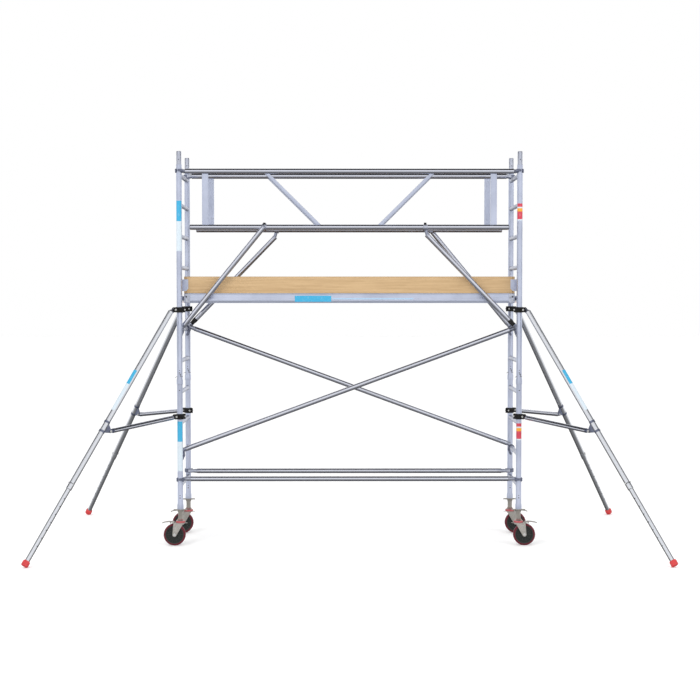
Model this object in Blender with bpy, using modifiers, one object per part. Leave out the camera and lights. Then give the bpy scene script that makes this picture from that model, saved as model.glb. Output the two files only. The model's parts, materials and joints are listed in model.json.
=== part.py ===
"""A mobile tower scaffold: two ladder frames at each end, braces, a trapdoor platform with toe boards,
guardrail frames with struts, four castors on threaded legs and four telescopic stabilisers.

X runs along the bay, Y across it and Z up. The origin is on the floor below the middle of the tower.
The front is at -Y. Lengths are in metres and angles in degrees."""

import math

import bmesh
import bpy
from mathutils import Matrix, Vector

# Bay and frames
BAY = 3.10                 # between the end frames, tube centre to tube centre
WIDTH = 0.70               # between the two uprights of a frame
TUBE_R = 0.0254            # frame tube
TUBE_BORE = 0.0234
RUNG_R = 0.019
RUNG_BORE = 0.017
RUNG_PITCH = 0.285
FIRST_RUNG_Z = 0.55
TOP_RUNG_Z = 3.384         # the last rung sits a little lower, below the guardrail claws
LOWER_RUNGS = 4
UPPER_RUNGS = 7
LOWER_FRAME_Z = 0.333      # bottom of the lower frame, on the castor nuts
JOINT_Z = 1.479            # where the upper frame stands on the lower one
UPPER_FRAME_TOP = 3.479
SPIGOT_R = 0.0225          # the thinner end that the next frame slides over
SPIGOT_BORE = 0.0205
SPIGOT_LENGTH = 0.12
SPIGOT_ROOT = 0.05
COLLAR_R = 0.029           # the flared foot of each upright
COLLAR_HEIGHT = 0.05

# Braces and guardrails
RAIL_R = 0.023
RAIL_BORE = 0.0205
RAIL_INSET = 0.052         # rail axis from the uprights' axes, towards the inside
CLAW_HEIGHT = 0.034
CLAW_MOUTH = 100           # open angle of every snap-on claw
UPRIGHT_CLAW_BORE = 0.0278
RUNG_CLAW_BORE = 0.0209
CLAW_WALL = 0.0080
CLAW_NECK_R = 0.019        # the shank from a rung claw into its tube
CLAW_NECK_END = 0.105
TOP_RAIL_Z = 3.422
LOWER_RAIL_Z = 2.913
TOP_RAIL_HALF = 1.50
LOWER_RAIL_HALF = 1.455
RAIL_POST_X = 1.317
RAIL_POST_SIZE = (0.057, 0.020)
RAIL_STRUT_X = (0.776, 0.261)  # top and bottom of the guardrail's inner diagonals
RAIL_STRUT_SIZE = (0.033, 0.018)
RAIL_PLUG = 0.03           # closed length at each end of a rail
HORIZONTAL_Z = 0.605
HORIZONTAL_HALF = 1.46
DIAGONAL_RUNGS = (2, 6)
DIAGONAL_Y = 0.250         # diagonal brace axis from the tower's middle plane
DIAGONAL_START = 0.047     # from the lower rung's axis to the tube
DIAGONAL_END = 0.085       # and from the tube to the upper rung's axis
DIAGONAL_LIFT = 0.026      # tube axis above the axes of the rungs it hangs on
DIAGONAL_NECKS = (0.012, 0.029)  # from above the lower and upper rung's axis to the shank
STRUT_RUNG = 6
STRUT_Y = 0.300
STRUT_START = 0.060
STRUT_R = 0.0225
STRUT_BORE = 0.0200
DRAIN_R = 0.004

# Platform
BEAM_TOP = 2.310
BEAM_HEIGHT = 0.090
BEAM_Y = 0.262
FLANGE = 0.030
SHEET = 0.003
PLATFORM_HALF = 1.520
END_HEIGHT = 0.075         # the end channels, which the wind locks turn below
WIND_LOCK_X = PLATFORM_HALF - 0.017
DECK_THICKNESS = 0.012
HATCH_X = (0.62, 1.30)
HATCH_Y = 0.2315
DECK_HALF = 1.478
DECK_RIM = 0.016           # left beside the hatchway
CROSS_X = (-1.1, -0.66, -0.22, 0.22, HATCH_X[0] - 0.02, HATCH_X[1] + 0.02)
CROSS_SIZE = (0.034, 0.030)
HOOK_Y = 0.200
HOOK_WIDTH = 0.040
HOOK_RUNG = 7
TOE_HEIGHT = 0.153
TOE_THICKNESS = 0.018
TOE_Y = 0.2665
TOE_HALF = 1.497

# Castors, drawn with the stem's axis at the origin and the wheel trailing towards +X
WHEEL_R = 0.100
WHEEL_HALF = 0.024
HUB_HALF = 0.027
WEB_HALF = 0.016
TRAIL = 0.053
AXLE_R = 0.006
AXLE_BORE = 0.0066
FORK_TOP = 0.209
FORK_PLATE = 0.006
FORK_Y = 0.0290            # inner face of the fork legs
FORK_LEG = 0.005
STEM_R = 0.0215
STEM_BORE = 0.0175
STEM_TOP = 0.720
CUP_R = 0.040
KINGPIN_R = 0.0085
KINGPIN_BORE = 0.0095
NUT_TOP = LOWER_FRAME_Z - 0.0004
NUT_HEIGHT = 0.026
NUT_BORE = 0.0225
NUT_HANDLE = 0.064         # from the axis to the end of a handle
NUT_WING_R = 0.008
PEDAL_PIN = (0.066, 0.2135)
PEDAL_END = 0.172

# Stabilisers, drawn with the upright's axis at the origin and the leg leaning out towards +X
STABILISER_ANGLES = {-1: 42.9, 1: 44.2}  # front and back, in plan from the bay's length
LEG_TOP = (0.088, 2.160)
LEG_FOOT = (1.620, 0.030)
OUTER_END = 0.72           # share of the leg's length where the outer tube stops
INNER_START = 0.42
OUTER_START = 0.008
LEG_R = 0.025
LEG_BORE = 0.0222
INNER_R = 0.0215
INNER_BORE = 0.0190
FOOT_R = 0.030
FOOT_START = 0.9885        # shares of the leg's length where the foot starts and ends
FOOT_END = 1.0055
ARM_R = 0.020
ARM_BORE = 0.0180
ARM_CLAMP_Z = 1.184
LUG_SHARE = 0.478
LUG_DROP = 0.075           # arm pivot from the leg's axis
CLAMP_HEIGHT = 0.050
CLAMP_BORE = 0.0266
CLAMP_R = 0.0350
CLAMP_PIN_X = 0.060        # the bolt through a clamp's outer cheeks

GAP = 0.0003
WELD = 0.000003
UPRIGHT_STEPS = 12
BORE_STEPS = 6
TUBE_STEPS = 8
WHEEL_STEPS = 16           # a multiple of four, so that a flat of the rim is at the bottom

END_X = BAY / 2
SIDE_Y = WIDTH / 2
CORNERS = {
    "front_left": (-1, -1),
    "front_right": (1, -1),
    "back_left": (-1, 1),
    "back_right": (1, 1),
}


def rung_z(number):
    return min(FIRST_RUNG_Z + RUNG_PITCH * (number - 1), TOP_RUNG_Z)


# ---------------------------------------------------------------- scene and shapes

for old in list(bpy.data.objects):
    bpy.data.objects.remove(old)


def collection(name):
    made = bpy.data.collections.new(name)
    bpy.context.scene.collection.children.link(made)
    return made


PARTS = collection("mobile_tower_scaffold")
SHAPES = collection("construction_shapes")
SHAPES.hide_render = True


def shape(mesh, place=None):
    """A construction object that is joined to a part or cut from it."""
    made = bpy.data.objects.new("shape", mesh)
    made.matrix_world = place or Matrix.Identity(4)
    made.hide_render = True
    made.display_type = "WIRE"
    SHAPES.objects.link(made)
    return made


def evaluated_mesh(obj):
    bpy.context.view_layer.update()
    graph = bpy.context.evaluated_depsgraph_get()
    return bpy.data.meshes.new_from_object(obj.evaluated_get(graph))


def along(start, end):
    """The place that takes +Z from start towards end."""
    start, end = Vector(start), Vector(end)
    turn = (end - start).to_track_quat("Z", "Y").to_matrix().to_4x4()
    return Matrix.Translation(start) @ turn


def rod(radius, start, end, steps=TUBE_STEPS):
    """A solid cylinder between two points."""
    length = (Vector(end) - Vector(start)).length
    bm = bmesh.new()
    bmesh.ops.create_cone(
        bm,
        cap_ends=True,
        segments=steps,
        radius1=radius,
        radius2=radius,
        depth=length,
        matrix=Matrix.Translation((0, 0, length / 2)) @ Matrix.Rotation(math.pi / steps, 4, "Z"),
    )
    mesh = bpy.data.meshes.new("rod")
    bm.to_mesh(mesh)
    bm.free()
    return shape(mesh, along(start, end))


def box(low, high, place=None):
    """A box between two opposite corners."""
    low, high = Vector(low), Vector(high)
    bm = bmesh.new()
    scale = Matrix.Diagonal((*(high - low), 1))
    bmesh.ops.create_cube(bm, size=1, matrix=Matrix.Translation((low + high) / 2) @ scale)
    mesh = bpy.data.meshes.new("box")
    bm.to_mesh(mesh)
    bm.free()
    return shape(mesh, place)


def turned(profile, place=None, steps=UPRIGHT_STEPS):
    """A profile of (radius, height) points turned about Z. It runs down the outer side, from top to bottom,
    with its ends on the axis."""
    mesh = bpy.data.meshes.new("profile")
    points = [(radius, 0, height) for radius, height in profile]
    mesh.from_pydata(points, [(i, i + 1) for i in range(len(points) - 1)], [])
    made = shape(mesh)
    screw = made.modifiers.new("Turn", "SCREW")
    screw.steps = steps
    screw.render_steps = steps
    screw.use_merge_vertices = True
    screw.merge_threshold = 0.00001
    solid = evaluated_mesh(made)
    bpy.data.objects.remove(made)
    half_step = Matrix.Rotation(math.pi / steps, 4, "Z")
    return shape(solid, (place or Matrix.Identity(4)) @ half_step)


def weld(mesh):
    """Makes points that coincide one."""
    bm = bmesh.new()
    bm.from_mesh(mesh)
    bmesh.ops.remove_doubles(bm, verts=bm.verts, dist=WELD)
    bmesh.ops.dissolve_degenerate(bm, edges=bm.edges, dist=WELD)
    bmesh.ops.recalc_face_normals(bm, faces=bm.faces)
    bm.to_mesh(mesh)
    bm.free()


def plate(points, thickness, place=None):
    """A flat outline in XY with half its thickness on each side of Z = 0."""
    curve = bpy.data.curves.new("outline", "CURVE")
    curve.dimensions = "2D"
    curve.fill_mode = "BOTH"
    curve.extrude = thickness / 2
    line = curve.splines.new("POLY")
    line.points.add(len(points) - 1)
    for point, (x, y) in zip(line.points, points):
        point.co = (x, y, 0, 1)
    line.use_cyclic_u = True
    drawn = bpy.data.objects.new("outline", curve)
    SHAPES.objects.link(drawn)
    mesh = evaluated_mesh(drawn)
    bpy.data.objects.remove(drawn)
    weld(mesh)
    return shape(mesh, place)


def arc(centre, radius, first, last, steps):
    """Points on an arc, with its angles in degrees."""
    angles = [math.radians(first + (last - first) * i / steps) for i in range(steps + 1)]
    return [(centre[0] + radius * math.cos(a), centre[1] + radius * math.sin(a)) for a in angles]


def claw(bore, mouth, steps=6):
    """The C outline of a snap-on claw round the origin, open in the direction of mouth, in degrees."""
    first = mouth + CLAW_MOUTH / 2
    last = mouth + 360 - CLAW_MOUTH / 2
    outer = arc((0, 0), bore + CLAW_WALL, first, last, steps)
    inner = arc((0, 0), bore, last, first, steps)
    return outer + inner


XZ = Matrix.Rotation(math.radians(90), 4, "X")     # stands a flat outline up in the XZ plane
YZ = Matrix(((0, 0, 1, 0), (1, 0, 0, 0), (0, 1, 0, 0), (0, 0, 0, 1)))   # or in the YZ plane


def combined(joined, cut=()):
    """One mesh: the joined shapes welded together, less the cut ones."""
    base = joined[0]
    for other in joined[1:]:
        modifier = base.modifiers.new("Join", "BOOLEAN")
        modifier.operation = "UNION"
        modifier.object = other
    for other in cut:
        modifier = base.modifiers.new("Cut", "BOOLEAN")
        modifier.operation = "DIFFERENCE"
        modifier.object = other
    mesh = evaluated_mesh(base)
    mesh.transform(base.matrix_world)
    for used in (*joined, *cut):
        bpy.data.objects.remove(used)
    weld(mesh)
    mesh.materials.clear()
    mesh.shade_smooth()
    mesh.set_sharp_from_angle(angle=math.radians(32))
    return mesh


# ---------------------------------------------------------------- materials and placing


def material(name, colour, roughness, metallic):
    made = bpy.data.materials.new(name)
    made.use_nodes = True
    shader = made.node_tree.nodes["Principled BSDF"]
    shader.inputs["Base Color"].default_value = (*colour, 1)
    shader.inputs["Roughness"].default_value = roughness
    shader.inputs["Metallic"].default_value = metallic
    made.diffuse_color = (*colour, 1)
    return made


ALUMINIUM = material("frame_aluminium", (0.56, 0.60, 0.74), 0.35, 1.0)
BRIGHT = material("bright_aluminium", (0.72, 0.74, 0.80), 0.2, 1.0)
PLYWOOD = material("plywood", (0.63, 0.45, 0.24), 0.6, 0.0)
DECKING = material("coated_plywood", (0.12, 0.08, 0.05), 0.5, 0.0)
ZINC = material("zinc_steel", (0.42, 0.40, 0.38), 0.35, 1.0)
WHEEL = material("wheel_rubber", (0.05, 0.05, 0.05), 0.6, 0.0)
CLAMP = material("black_clamp", (0.02, 0.02, 0.02), 0.45, 0.0)
FOOT = material("inner_leg", (0.72, 0.74, 0.80), 0.25, 1.0)


def part(name, mesh, finish, place=None, parent=None):
    """A named sub-part. Each one has its own copy of the shape and of the material."""
    own = mesh.copy()
    own.name = name
    own.materials.append(finish.copy())
    made = bpy.data.objects.new(name, own)
    PARTS.objects.link(made)
    made.parent = parent
    if parent:
        made.matrix_parent_inverse = Matrix.Identity(4)
    made.matrix_local = place or Matrix.Identity(4)
    return made


def pivot(name, place):
    """An empty on a joint's axis."""
    made = bpy.data.objects.new(name, None)
    made.empty_display_size = 0.1
    PARTS.objects.link(made)
    made.matrix_world = place
    return made


def corner_place(corner, angle):
    """On the floor below an upright, turned about it."""
    x, y = CORNERS[corner]
    turn = Matrix.Rotation(math.radians(angle), 4, "Z")
    return Matrix.Translation((x * END_X, y * SIDE_Y, 0)) @ turn


# ---------------------------------------------------------------- end frames


def ladder_frame(bottom, top, rungs):
    """Two uprights with bored tubes and open rungs between them, at X = 0."""
    outer = [
        (0, top + SPIGOT_LENGTH),
        (SPIGOT_R, top + SPIGOT_LENGTH),
        (SPIGOT_R, top),
        (TUBE_R, top),
        (TUBE_R, bottom + COLLAR_HEIGHT),
        (COLLAR_R, bottom + COLLAR_HEIGHT - (COLLAR_R - TUBE_R)),
        (COLLAR_R, bottom),
        (0, bottom),
    ]
    over = 0.01
    bore = [
        (0, top + SPIGOT_LENGTH + over),
        (SPIGOT_BORE, top + SPIGOT_LENGTH + over),
        (SPIGOT_BORE, top - SPIGOT_ROOT),
        (TUBE_BORE, top - SPIGOT_ROOT),
        (TUBE_BORE, bottom - over),
        (0, bottom - over),
    ]
    joined, cut = [], []
    for y in (-SIDE_Y, SIDE_Y):
        joined.append(turned(outer, Matrix.Translation((0, y, 0))))
        cut.append(turned(bore, Matrix.Translation((0, y, 0))))
    for number in rungs:
        ends = (0, -SIDE_Y, rung_z(number)), (0, SIDE_Y, rung_z(number))
        joined.append(rod(RUNG_R, *ends))
        cut.append(rod(RUNG_BORE, *ends, BORE_STEPS))
    return combined(joined, cut)


def end_frames():
    lower = ladder_frame(LOWER_FRAME_Z, JOINT_Z, range(1, LOWER_RUNGS + 1))
    first_upper = LOWER_RUNGS + 1
    rungs = range(first_upper, first_upper + UPPER_RUNGS)
    upper = ladder_frame(JOINT_Z + GAP, UPPER_FRAME_TOP, rungs)
    for end, x in (("left", -END_X), ("right", END_X)):
        part(f"lower_frame_{end}", lower, ALUMINIUM, Matrix.Translation((x, 0, 0)))
        part(f"upper_frame_{end}", upper, ALUMINIUM, Matrix.Translation((x, 0, 0)))


# ---------------------------------------------------------------- rails and braces


def rail(half, z, radius, bore, plug=0.0):
    """(solids, cutters) of a tube along X at Y = 0. A plugged one has closed ends and a drain hole."""
    solid = rod(radius, (-half, 0, z), (half, 0, z), UPRIGHT_STEPS)
    inner = half - plug if plug else half + 0.01
    cut = [rod(bore, (-inner, 0, z), (inner, 0, z), TUBE_STEPS)]
    if plug:
        drain_x = half - plug - 0.03
        cut.append(rod(DRAIN_R, (drain_x, 0, z), (drain_x, 0, z - 2 * radius), BORE_STEPS))
    return [solid], cut


def upright_claws(half, z):
    """A claw round each upright, and the casting that joins it to a rail's end, seen from the front rail."""
    made = []
    for side in (-1, 1):
        outline = [(side * x, y) for x, y in claw(UPRIGHT_CLAW_BORE, -90)]
        place = Matrix.Translation((side * END_X, -RAIL_INSET, z))
        made.append(plate(outline, CLAW_HEIGHT, place))
        inner_wall = -RAIL_INSET + UPRIGHT_CLAW_BORE + 0.002
        ends = sorted((side * (END_X - 0.004), side * (half - 0.015)))
        low = (ends[0], inner_wall, z - CLAW_HEIGHT / 2 + 0.001)
        high = (ends[1], 0.016, z + CLAW_HEIGHT / 2 - 0.001)
        made.append(box(low, high))
    return made


def bar(start, end, width, depth):
    """A flat bar in the XZ plane between two points, with depth as its thickness in Y."""
    start, end = Vector(start), Vector(end)
    length = (end - start).length
    slope = math.atan2(end.z - start.z, end.x - start.x)
    place = Matrix.Translation((start + end) / 2) @ Matrix.Rotation(-slope, 4, "Y")
    corner = Vector((length, depth, width)) / 2
    return box(-corner, corner, place)


def guardrail():
    """Two rails, two posts and two inner diagonals, as one welded frame in the plane Y = 0."""
    top, top_cut = rail(TOP_RAIL_HALF, TOP_RAIL_Z, RAIL_R, RAIL_BORE, RAIL_PLUG)
    low, low_cut = rail(LOWER_RAIL_HALF, LOWER_RAIL_Z, RAIL_R, RAIL_BORE)
    made = top + low + upright_claws(TOP_RAIL_HALF, TOP_RAIL_Z)
    cut = top_cut + low_cut
    for side in (-1, 1):
        for (top_x, low_x), size in (
            ((RAIL_POST_X, RAIL_POST_X), RAIL_POST_SIZE),
            (RAIL_STRUT_X, RAIL_STRUT_SIZE),
        ):
            ends = (side * top_x, 0, TOP_RAIL_Z), (side * low_x, 0, LOWER_RAIL_Z)
            made.append(bar(*ends, *size))
            cut.append(bar(*ends, size[0] - 2 * SHEET, size[1] - 2 * SHEET))
    return combined(made, cut)


def guardrails_and_horizontals():
    frame = guardrail()
    tube, cut = rail(HORIZONTAL_HALF, HORIZONTAL_Z, RAIL_R, RAIL_BORE, RAIL_PLUG)
    horizontal = combined(tube + upright_claws(HORIZONTAL_HALF, HORIZONTAL_Z), cut)
    front = Matrix.Translation((0, -SIDE_Y + RAIL_INSET, 0))
    back = Matrix.Rotation(math.pi, 4, "Z") @ front
    for name, place in (("front", front), ("back", back)):
        part(f"guardrail_{name}", frame, BRIGHT, place)
        part(f"horizontal_brace_{name}", horizontal, BRIGHT, place)


def rung_claw(x, y, z, towards, lift=0.0, neck=RUNG_CLAW_BORE + 0.003):
    """A claw over a rung, open downwards, with its shank towards a point, both lifted off the axis."""
    centre = Vector((x, y, z))
    direction = (Vector(towards) - centre).normalized()
    hook = plate(claw(RUNG_CLAW_BORE, -90), CLAW_HEIGHT, Matrix.Translation(centre) @ XZ)
    root = centre + Vector((0, 0, lift))
    shank_start = root + direction * neck
    shank_end = root + direction * CLAW_NECK_END
    return [hook, rod(CLAW_NECK_R, shank_start, shank_end, TUBE_STEPS)]


def braced_tube(start, end, radius, bore, plug=0.03, steps=UPRIGHT_STEPS):
    """(solids, cutters) of a tube with closed ends and a drain hole on its underside."""
    start, end = Vector(start), Vector(end)
    direction = (end - start).normalized()
    cut = [rod(bore, start + direction * plug, end - direction * plug, TUBE_STEPS)]
    drain = start + direction * (plug + 0.03)
    cut.append(rod(DRAIN_R, drain, drain + Vector((0, 0, -2 * radius)), BORE_STEPS))
    return [rod(radius, start, end, steps)], cut


def diagonal_braces():
    low = Vector((-END_X, -DIAGONAL_Y, rung_z(DIAGONAL_RUNGS[0])))
    high = Vector((END_X, -DIAGONAL_Y, rung_z(DIAGONAL_RUNGS[1])))
    direction = (high - low).normalized()
    lift = Vector((0, 0, DIAGONAL_LIFT))
    ends = low + lift + direction * DIAGONAL_START, high + lift - direction * DIAGONAL_END
    tube, cut = braced_tube(*ends, STRUT_R, STRUT_BORE, plug=0.07)
    tube += rung_claw(*low, high, DIAGONAL_LIFT, DIAGONAL_NECKS[0])
    tube += rung_claw(*high, low, DIAGONAL_LIFT, DIAGONAL_NECKS[1])
    brace = combined(tube, cut)
    part("diagonal_brace_front", brace, BRIGHT)
    part("diagonal_brace_back", brace, BRIGHT, Matrix.Rotation(math.pi, 4, "Z"))


def guardrail_strut(top, clamp_x):
    """A strut at the front left: hooked on a rung and clamped to the guardrail's lower rail."""
    low = Vector((-END_X, -STRUT_Y, rung_z(STRUT_RUNG)))
    top = Vector(top)
    direction = (top - low).normalized()
    tube, cut = braced_tube(low + direction * STRUT_START, top, STRUT_R, STRUT_BORE, plug=0.055)
    rail_y = -SIDE_Y + RAIL_INSET
    outward = math.degrees(math.atan2(top.z - LOWER_RAIL_Z, top.y - rail_y))
    clamp = plate(
        claw(RAIL_R + 0.0023, outward + 180),
        0.040,
        Matrix.Translation((clamp_x, rail_y, LOWER_RAIL_Z)) @ YZ,
    )
    link_start = Vector((clamp_x, rail_y, LOWER_RAIL_Z))
    link_start += (top - link_start).normalized() * (RAIL_R + 0.005)
    link = rod(0.015, link_start, top - direction * 0.004, TUBE_STEPS)
    return combined(tube + [clamp, link] + rung_claw(*low, top), cut)


def guardrail_struts():
    """The front left and back right struts pass outside the rail, and the other two hang below it."""
    outside = guardrail_strut((-0.782, -0.3480, 2.910), -0.778)
    below = guardrail_strut((-0.708, -0.3000, 2.843), -0.692)
    half_turn = Matrix.Rotation(math.pi, 4, "Z")
    part("guardrail_strut_front_left", outside, BRIGHT)
    part("guardrail_strut_back_right", outside, BRIGHT, half_turn)
    mirrored = below.copy()
    mirrored.transform(Matrix.Scale(-1, 4, (1, 0, 0)))
    mirrored.flip_normals()
    part("guardrail_strut_front_right", mirrored, BRIGHT)
    part("guardrail_strut_back_left", mirrored, BRIGHT, half_turn)


# ---------------------------------------------------------------- platform


def channel(length, height, flange, place):
    """A C-section along X: its web faces -Y, and its top is at Z = 0."""
    outline = [
        (0, 0),
        (flange, 0),
        (flange, -SHEET),
        (SHEET, -SHEET),
        (SHEET, SHEET - height),
        (flange, SHEET - height),
        (flange, -height),
        (0, -height),
    ]
    return plate(outline, length, place @ YZ)


def platform_frame():
    """Side channels, end channels, cross members, four rung hooks and two studs for the wind locks."""
    made = []
    turn = Matrix.Rotation(math.pi, 4, "Z")
    front = Matrix.Translation((0, -BEAM_Y, BEAM_TOP))
    side_length = 2 * (PLATFORM_HALF - 0.002)
    made.append(channel(side_length, BEAM_HEIGHT, FLANGE, front))
    made.append(channel(side_length, BEAM_HEIGHT, FLANGE, turn @ front))
    across = Matrix.Rotation(-math.pi / 2, 4, "Z")
    left = Matrix.Translation((-PLATFORM_HALF, 0, BEAM_TOP)) @ across
    for half in (Matrix.Identity(4), turn):
        made.append(channel(2 * BEAM_Y - 0.004, END_HEIGHT, 0.040, half @ left))
    top = BEAM_TOP - DECK_THICKNESS - GAP
    for x in CROSS_X:
        place = Matrix.Translation((x - CROSS_SIZE[1] / 2, 0, top)) @ across
        made.append(channel(2 * BEAM_Y - 0.003, *CROSS_SIZE, place))
    z = rung_z(HOOK_RUNG)
    for side in (-1, 1):
        x = side * END_X
        for y in (-HOOK_Y, HOOK_Y):
            place = Matrix.Translation((x, y, z)) @ XZ
            made.append(plate(claw(RUNG_CLAW_BORE, -90), HOOK_WIDTH, place))
            root, tip = PLATFORM_HALF - 0.012, END_X - RUNG_CLAW_BORE - 0.002
            ends = sorted((side * root, side * tip))
            made.append(box((ends[0], y - 0.018, z + 0.002), (ends[1], y + 0.018, z + 0.027)))
        stud_x = side * WIND_LOCK_X
        flange_z = BEAM_TOP - END_HEIGHT
        made.append(rod(0.005, (stud_x, 0, flange_z + 0.001), (stud_x, 0, flange_z - 0.010)))
        made.append(rod(0.009, (stud_x, 0, flange_z - 0.009), (stud_x, 0, flange_z - 0.012)))
    return combined(made)


def wind_lock():
    """A turning finger below a rung, with its pivot hole at the origin and its tip towards +X."""
    reach = END_X - WIND_LOCK_X + 0.004
    outline = arc((0, 0), 0.013, 90, 270, 6) + arc((reach, 0), 0.013, -90, 90, 6)
    finger = plate(outline, 0.006)
    return combined([finger], [rod(0.0057, (0, 0, -0.01), (0, 0, 0.01))])


def platform():
    part("platform_frame", platform_frame(), ALUMINIUM)
    deck_z = (BEAM_TOP - DECK_THICKNESS, BEAM_TOP)
    width = BEAM_Y - FLANGE - 2 * GAP
    deck = box((-DECK_HALF, -width, deck_z[0]), (DECK_HALF, width, deck_z[1]))
    way_y = width - DECK_RIM
    hole = box((HATCH_X[0], -way_y, deck_z[0] - 0.01), (HATCH_X[1], way_y, deck_z[1] + 0.01))
    part("platform_deck", combined([deck], [hole]), DECKING)
    hinge_y = way_y - 0.0015
    hinge_z = BEAM_TOP + 0.0008
    hatch = box(
        (HATCH_X[0] + 0.003, -way_y + 0.003 - hinge_y, deck_z[0] - hinge_z),
        (HATCH_X[1] - 0.003, -0.0005, deck_z[1] - hinge_z),
    )
    grip_x = sum(HATCH_X) / 2
    grip_y = -way_y + 0.05 - hinge_y
    grip = box((grip_x - 0.05, grip_y - 0.015, -0.03), (grip_x + 0.05, grip_y + 0.015, 0.01))
    hinge = Matrix.Translation((0, hinge_y, hinge_z))
    part("platform_hatch", combined([hatch], [grip]), DECKING, hinge)
    lock = wind_lock()
    lock_z = BEAM_TOP - END_HEIGHT - 0.0045
    place = Matrix.Translation((WIND_LOCK_X, 0, lock_z))
    part("wind_lock_right", lock, ZINC, place)
    part("wind_lock_left", lock, ZINC, Matrix.Rotation(math.pi, 4, "Z") @ place)


def toe_boards():
    bottom = BEAM_TOP + GAP
    top = bottom + TOE_HEIGHT
    y = TOE_Y
    long_board = combined([box((-TOE_HALF, -y, bottom), (TOE_HALF, -y + TOE_THICKNESS, top))])
    end_x = TOE_HALF + 0.0015
    cross = combined([box((-end_x - TOE_THICKNESS, -y, bottom), (-end_x, y, top))])
    turn = Matrix.Rotation(math.pi, 4, "Z")
    part("toe_board_front", long_board, PLYWOOD)
    part("toe_board_back", long_board, PLYWOOD, turn)
    part("toe_board_left", cross, PLYWOOD)
    part("toe_board_right", cross, PLYWOOD, turn)


# ---------------------------------------------------------------- castors


def castor_stem():
    """The threaded leg with its bearing cup and the kingpin that the fork turns on."""
    cup_bottom = FORK_TOP + GAP
    profile = [
        (0, STEM_TOP),
        (STEM_R, STEM_TOP),
        (STEM_R, cup_bottom + 0.036),
        (0.027, cup_bottom + 0.030),
        (CUP_R, cup_bottom + 0.016),
        (CUP_R, cup_bottom),
        (KINGPIN_R, cup_bottom),
        (KINGPIN_R, FORK_TOP - FORK_PLATE - GAP),
        (0.0135, FORK_TOP - FORK_PLATE - GAP),
        (0.0135, FORK_TOP - FORK_PLATE - 0.0065),
        (0, FORK_TOP - FORK_PLATE - 0.0065),
    ]
    bore = [(0, STEM_TOP + 0.01), (STEM_BORE, STEM_TOP + 0.01), (STEM_BORE, 0.26), (0, 0.26)]
    return combined([turned(profile)], [turned(bore, steps=TUBE_STEPS)])


def castor_nut():
    """The wing nut that carries the frame, with its height from NUT_TOP downwards."""
    profile = [
        (0, NUT_TOP),
        (0.033, NUT_TOP),
        (0.033, NUT_TOP - 0.008),
        (0.0245, NUT_TOP - NUT_HEIGHT),
        (0, NUT_TOP - NUT_HEIGHT),
    ]
    tip = NUT_HANDLE - NUT_WING_R
    outline = arc((-tip, 0), NUT_WING_R, 90, 270, 2) + arc((tip, 0), NUT_WING_R, -90, 90, 2)
    wing = plate(outline, 0.010, Matrix.Translation((0, 0, NUT_TOP - 0.0062)))
    bore = rod(NUT_BORE, (0, 0, NUT_TOP - 0.05), (0, 0, NUT_TOP + 0.01), UPRIGHT_STEPS)
    return combined([turned(profile), wing], [bore])


def castor_fork():
    """The swivel plate, two legs, the axle bolt and the ears of the brake pedal."""
    bottom = FORK_TOP - FORK_PLATE
    made = [
        plate(
            arc((0, 0), 0.036, 90, 270, 6) + [(0.056, -0.034), (0.056, 0.034)],
            FORK_PLATE,
            Matrix.Translation((0, 0, bottom + FORK_PLATE / 2)),
        )
    ]
    leg = [
        (-0.030, FORK_TOP - 0.0005),
        *arc((TRAIL, WHEEL_R), 0.019, 205, 360, 4),
        (0.062, FORK_TOP - 0.0005),
    ]
    for side in (-1, 1):
        y = side * (FORK_Y + FORK_LEG / 2)
        made.append(plate(leg, FORK_LEG, Matrix.Translation((0, y, 0)) @ XZ))
        ear = [
            (0.046, bottom + 0.001),
            (0.074, bottom + 0.001),
            *arc(PEDAL_PIN, 0.008, 20, 160, 3),
            (0.046, bottom + 0.006),
        ]
        ear_y = side * 0.0262
        made.append(plate(ear, 0.004, Matrix.Translation((0, ear_y, 0)) @ XZ))
        head = side * (FORK_Y + FORK_LEG)
        ends = (TRAIL, head - side * 0.001, WHEEL_R), (TRAIL, head + side * 0.007, WHEEL_R)
        made.append(rod(0.010, *ends, 6))
    made.append(rod(AXLE_R, (TRAIL, -FORK_Y - 0.002, WHEEL_R), (TRAIL, FORK_Y + 0.002, WHEEL_R)))
    pin = (PEDAL_PIN[0], 0, PEDAL_PIN[1])
    made.append(rod(0.0035, (pin[0], -0.0255, pin[2]), (pin[0], 0.0255, pin[2]), 8))
    tab = box((-0.062, -0.009, bottom + 0.001), (-0.030, 0.009, FORK_TOP - 0.001))
    return combined(made + [tab], [rod(KINGPIN_BORE, (0, 0, 0.19), (0, 0, 0.22))])


def castor_wheel():
    """A solid tyre on a webbed core with a hub, turned about its axle. It stands on a flat of its rim."""
    rim = WHEEL_R / math.cos(math.pi / WHEEL_STEPS)
    half = [
        (HUB_HALF, 0.020),
        (WEB_HALF, 0.024),
        (WEB_HALF, 0.074),
        (WHEEL_HALF, 0.079),
        (WHEEL_HALF - 0.007, rim),
    ]
    profile = [(0, HUB_HALF)] + [(radius, height) for height, radius in half]
    profile += [(radius, -height) for height, radius in reversed(half)] + [(0, -HUB_HALF)]
    axle = Matrix.Rotation(math.pi / 2, 4, "X")
    bore = rod(AXLE_BORE, (0, -0.04, 0), (0, 0.04, 0), TUBE_STEPS)
    return combined([turned(profile, axle, WHEEL_STEPS)], [bore])


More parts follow.
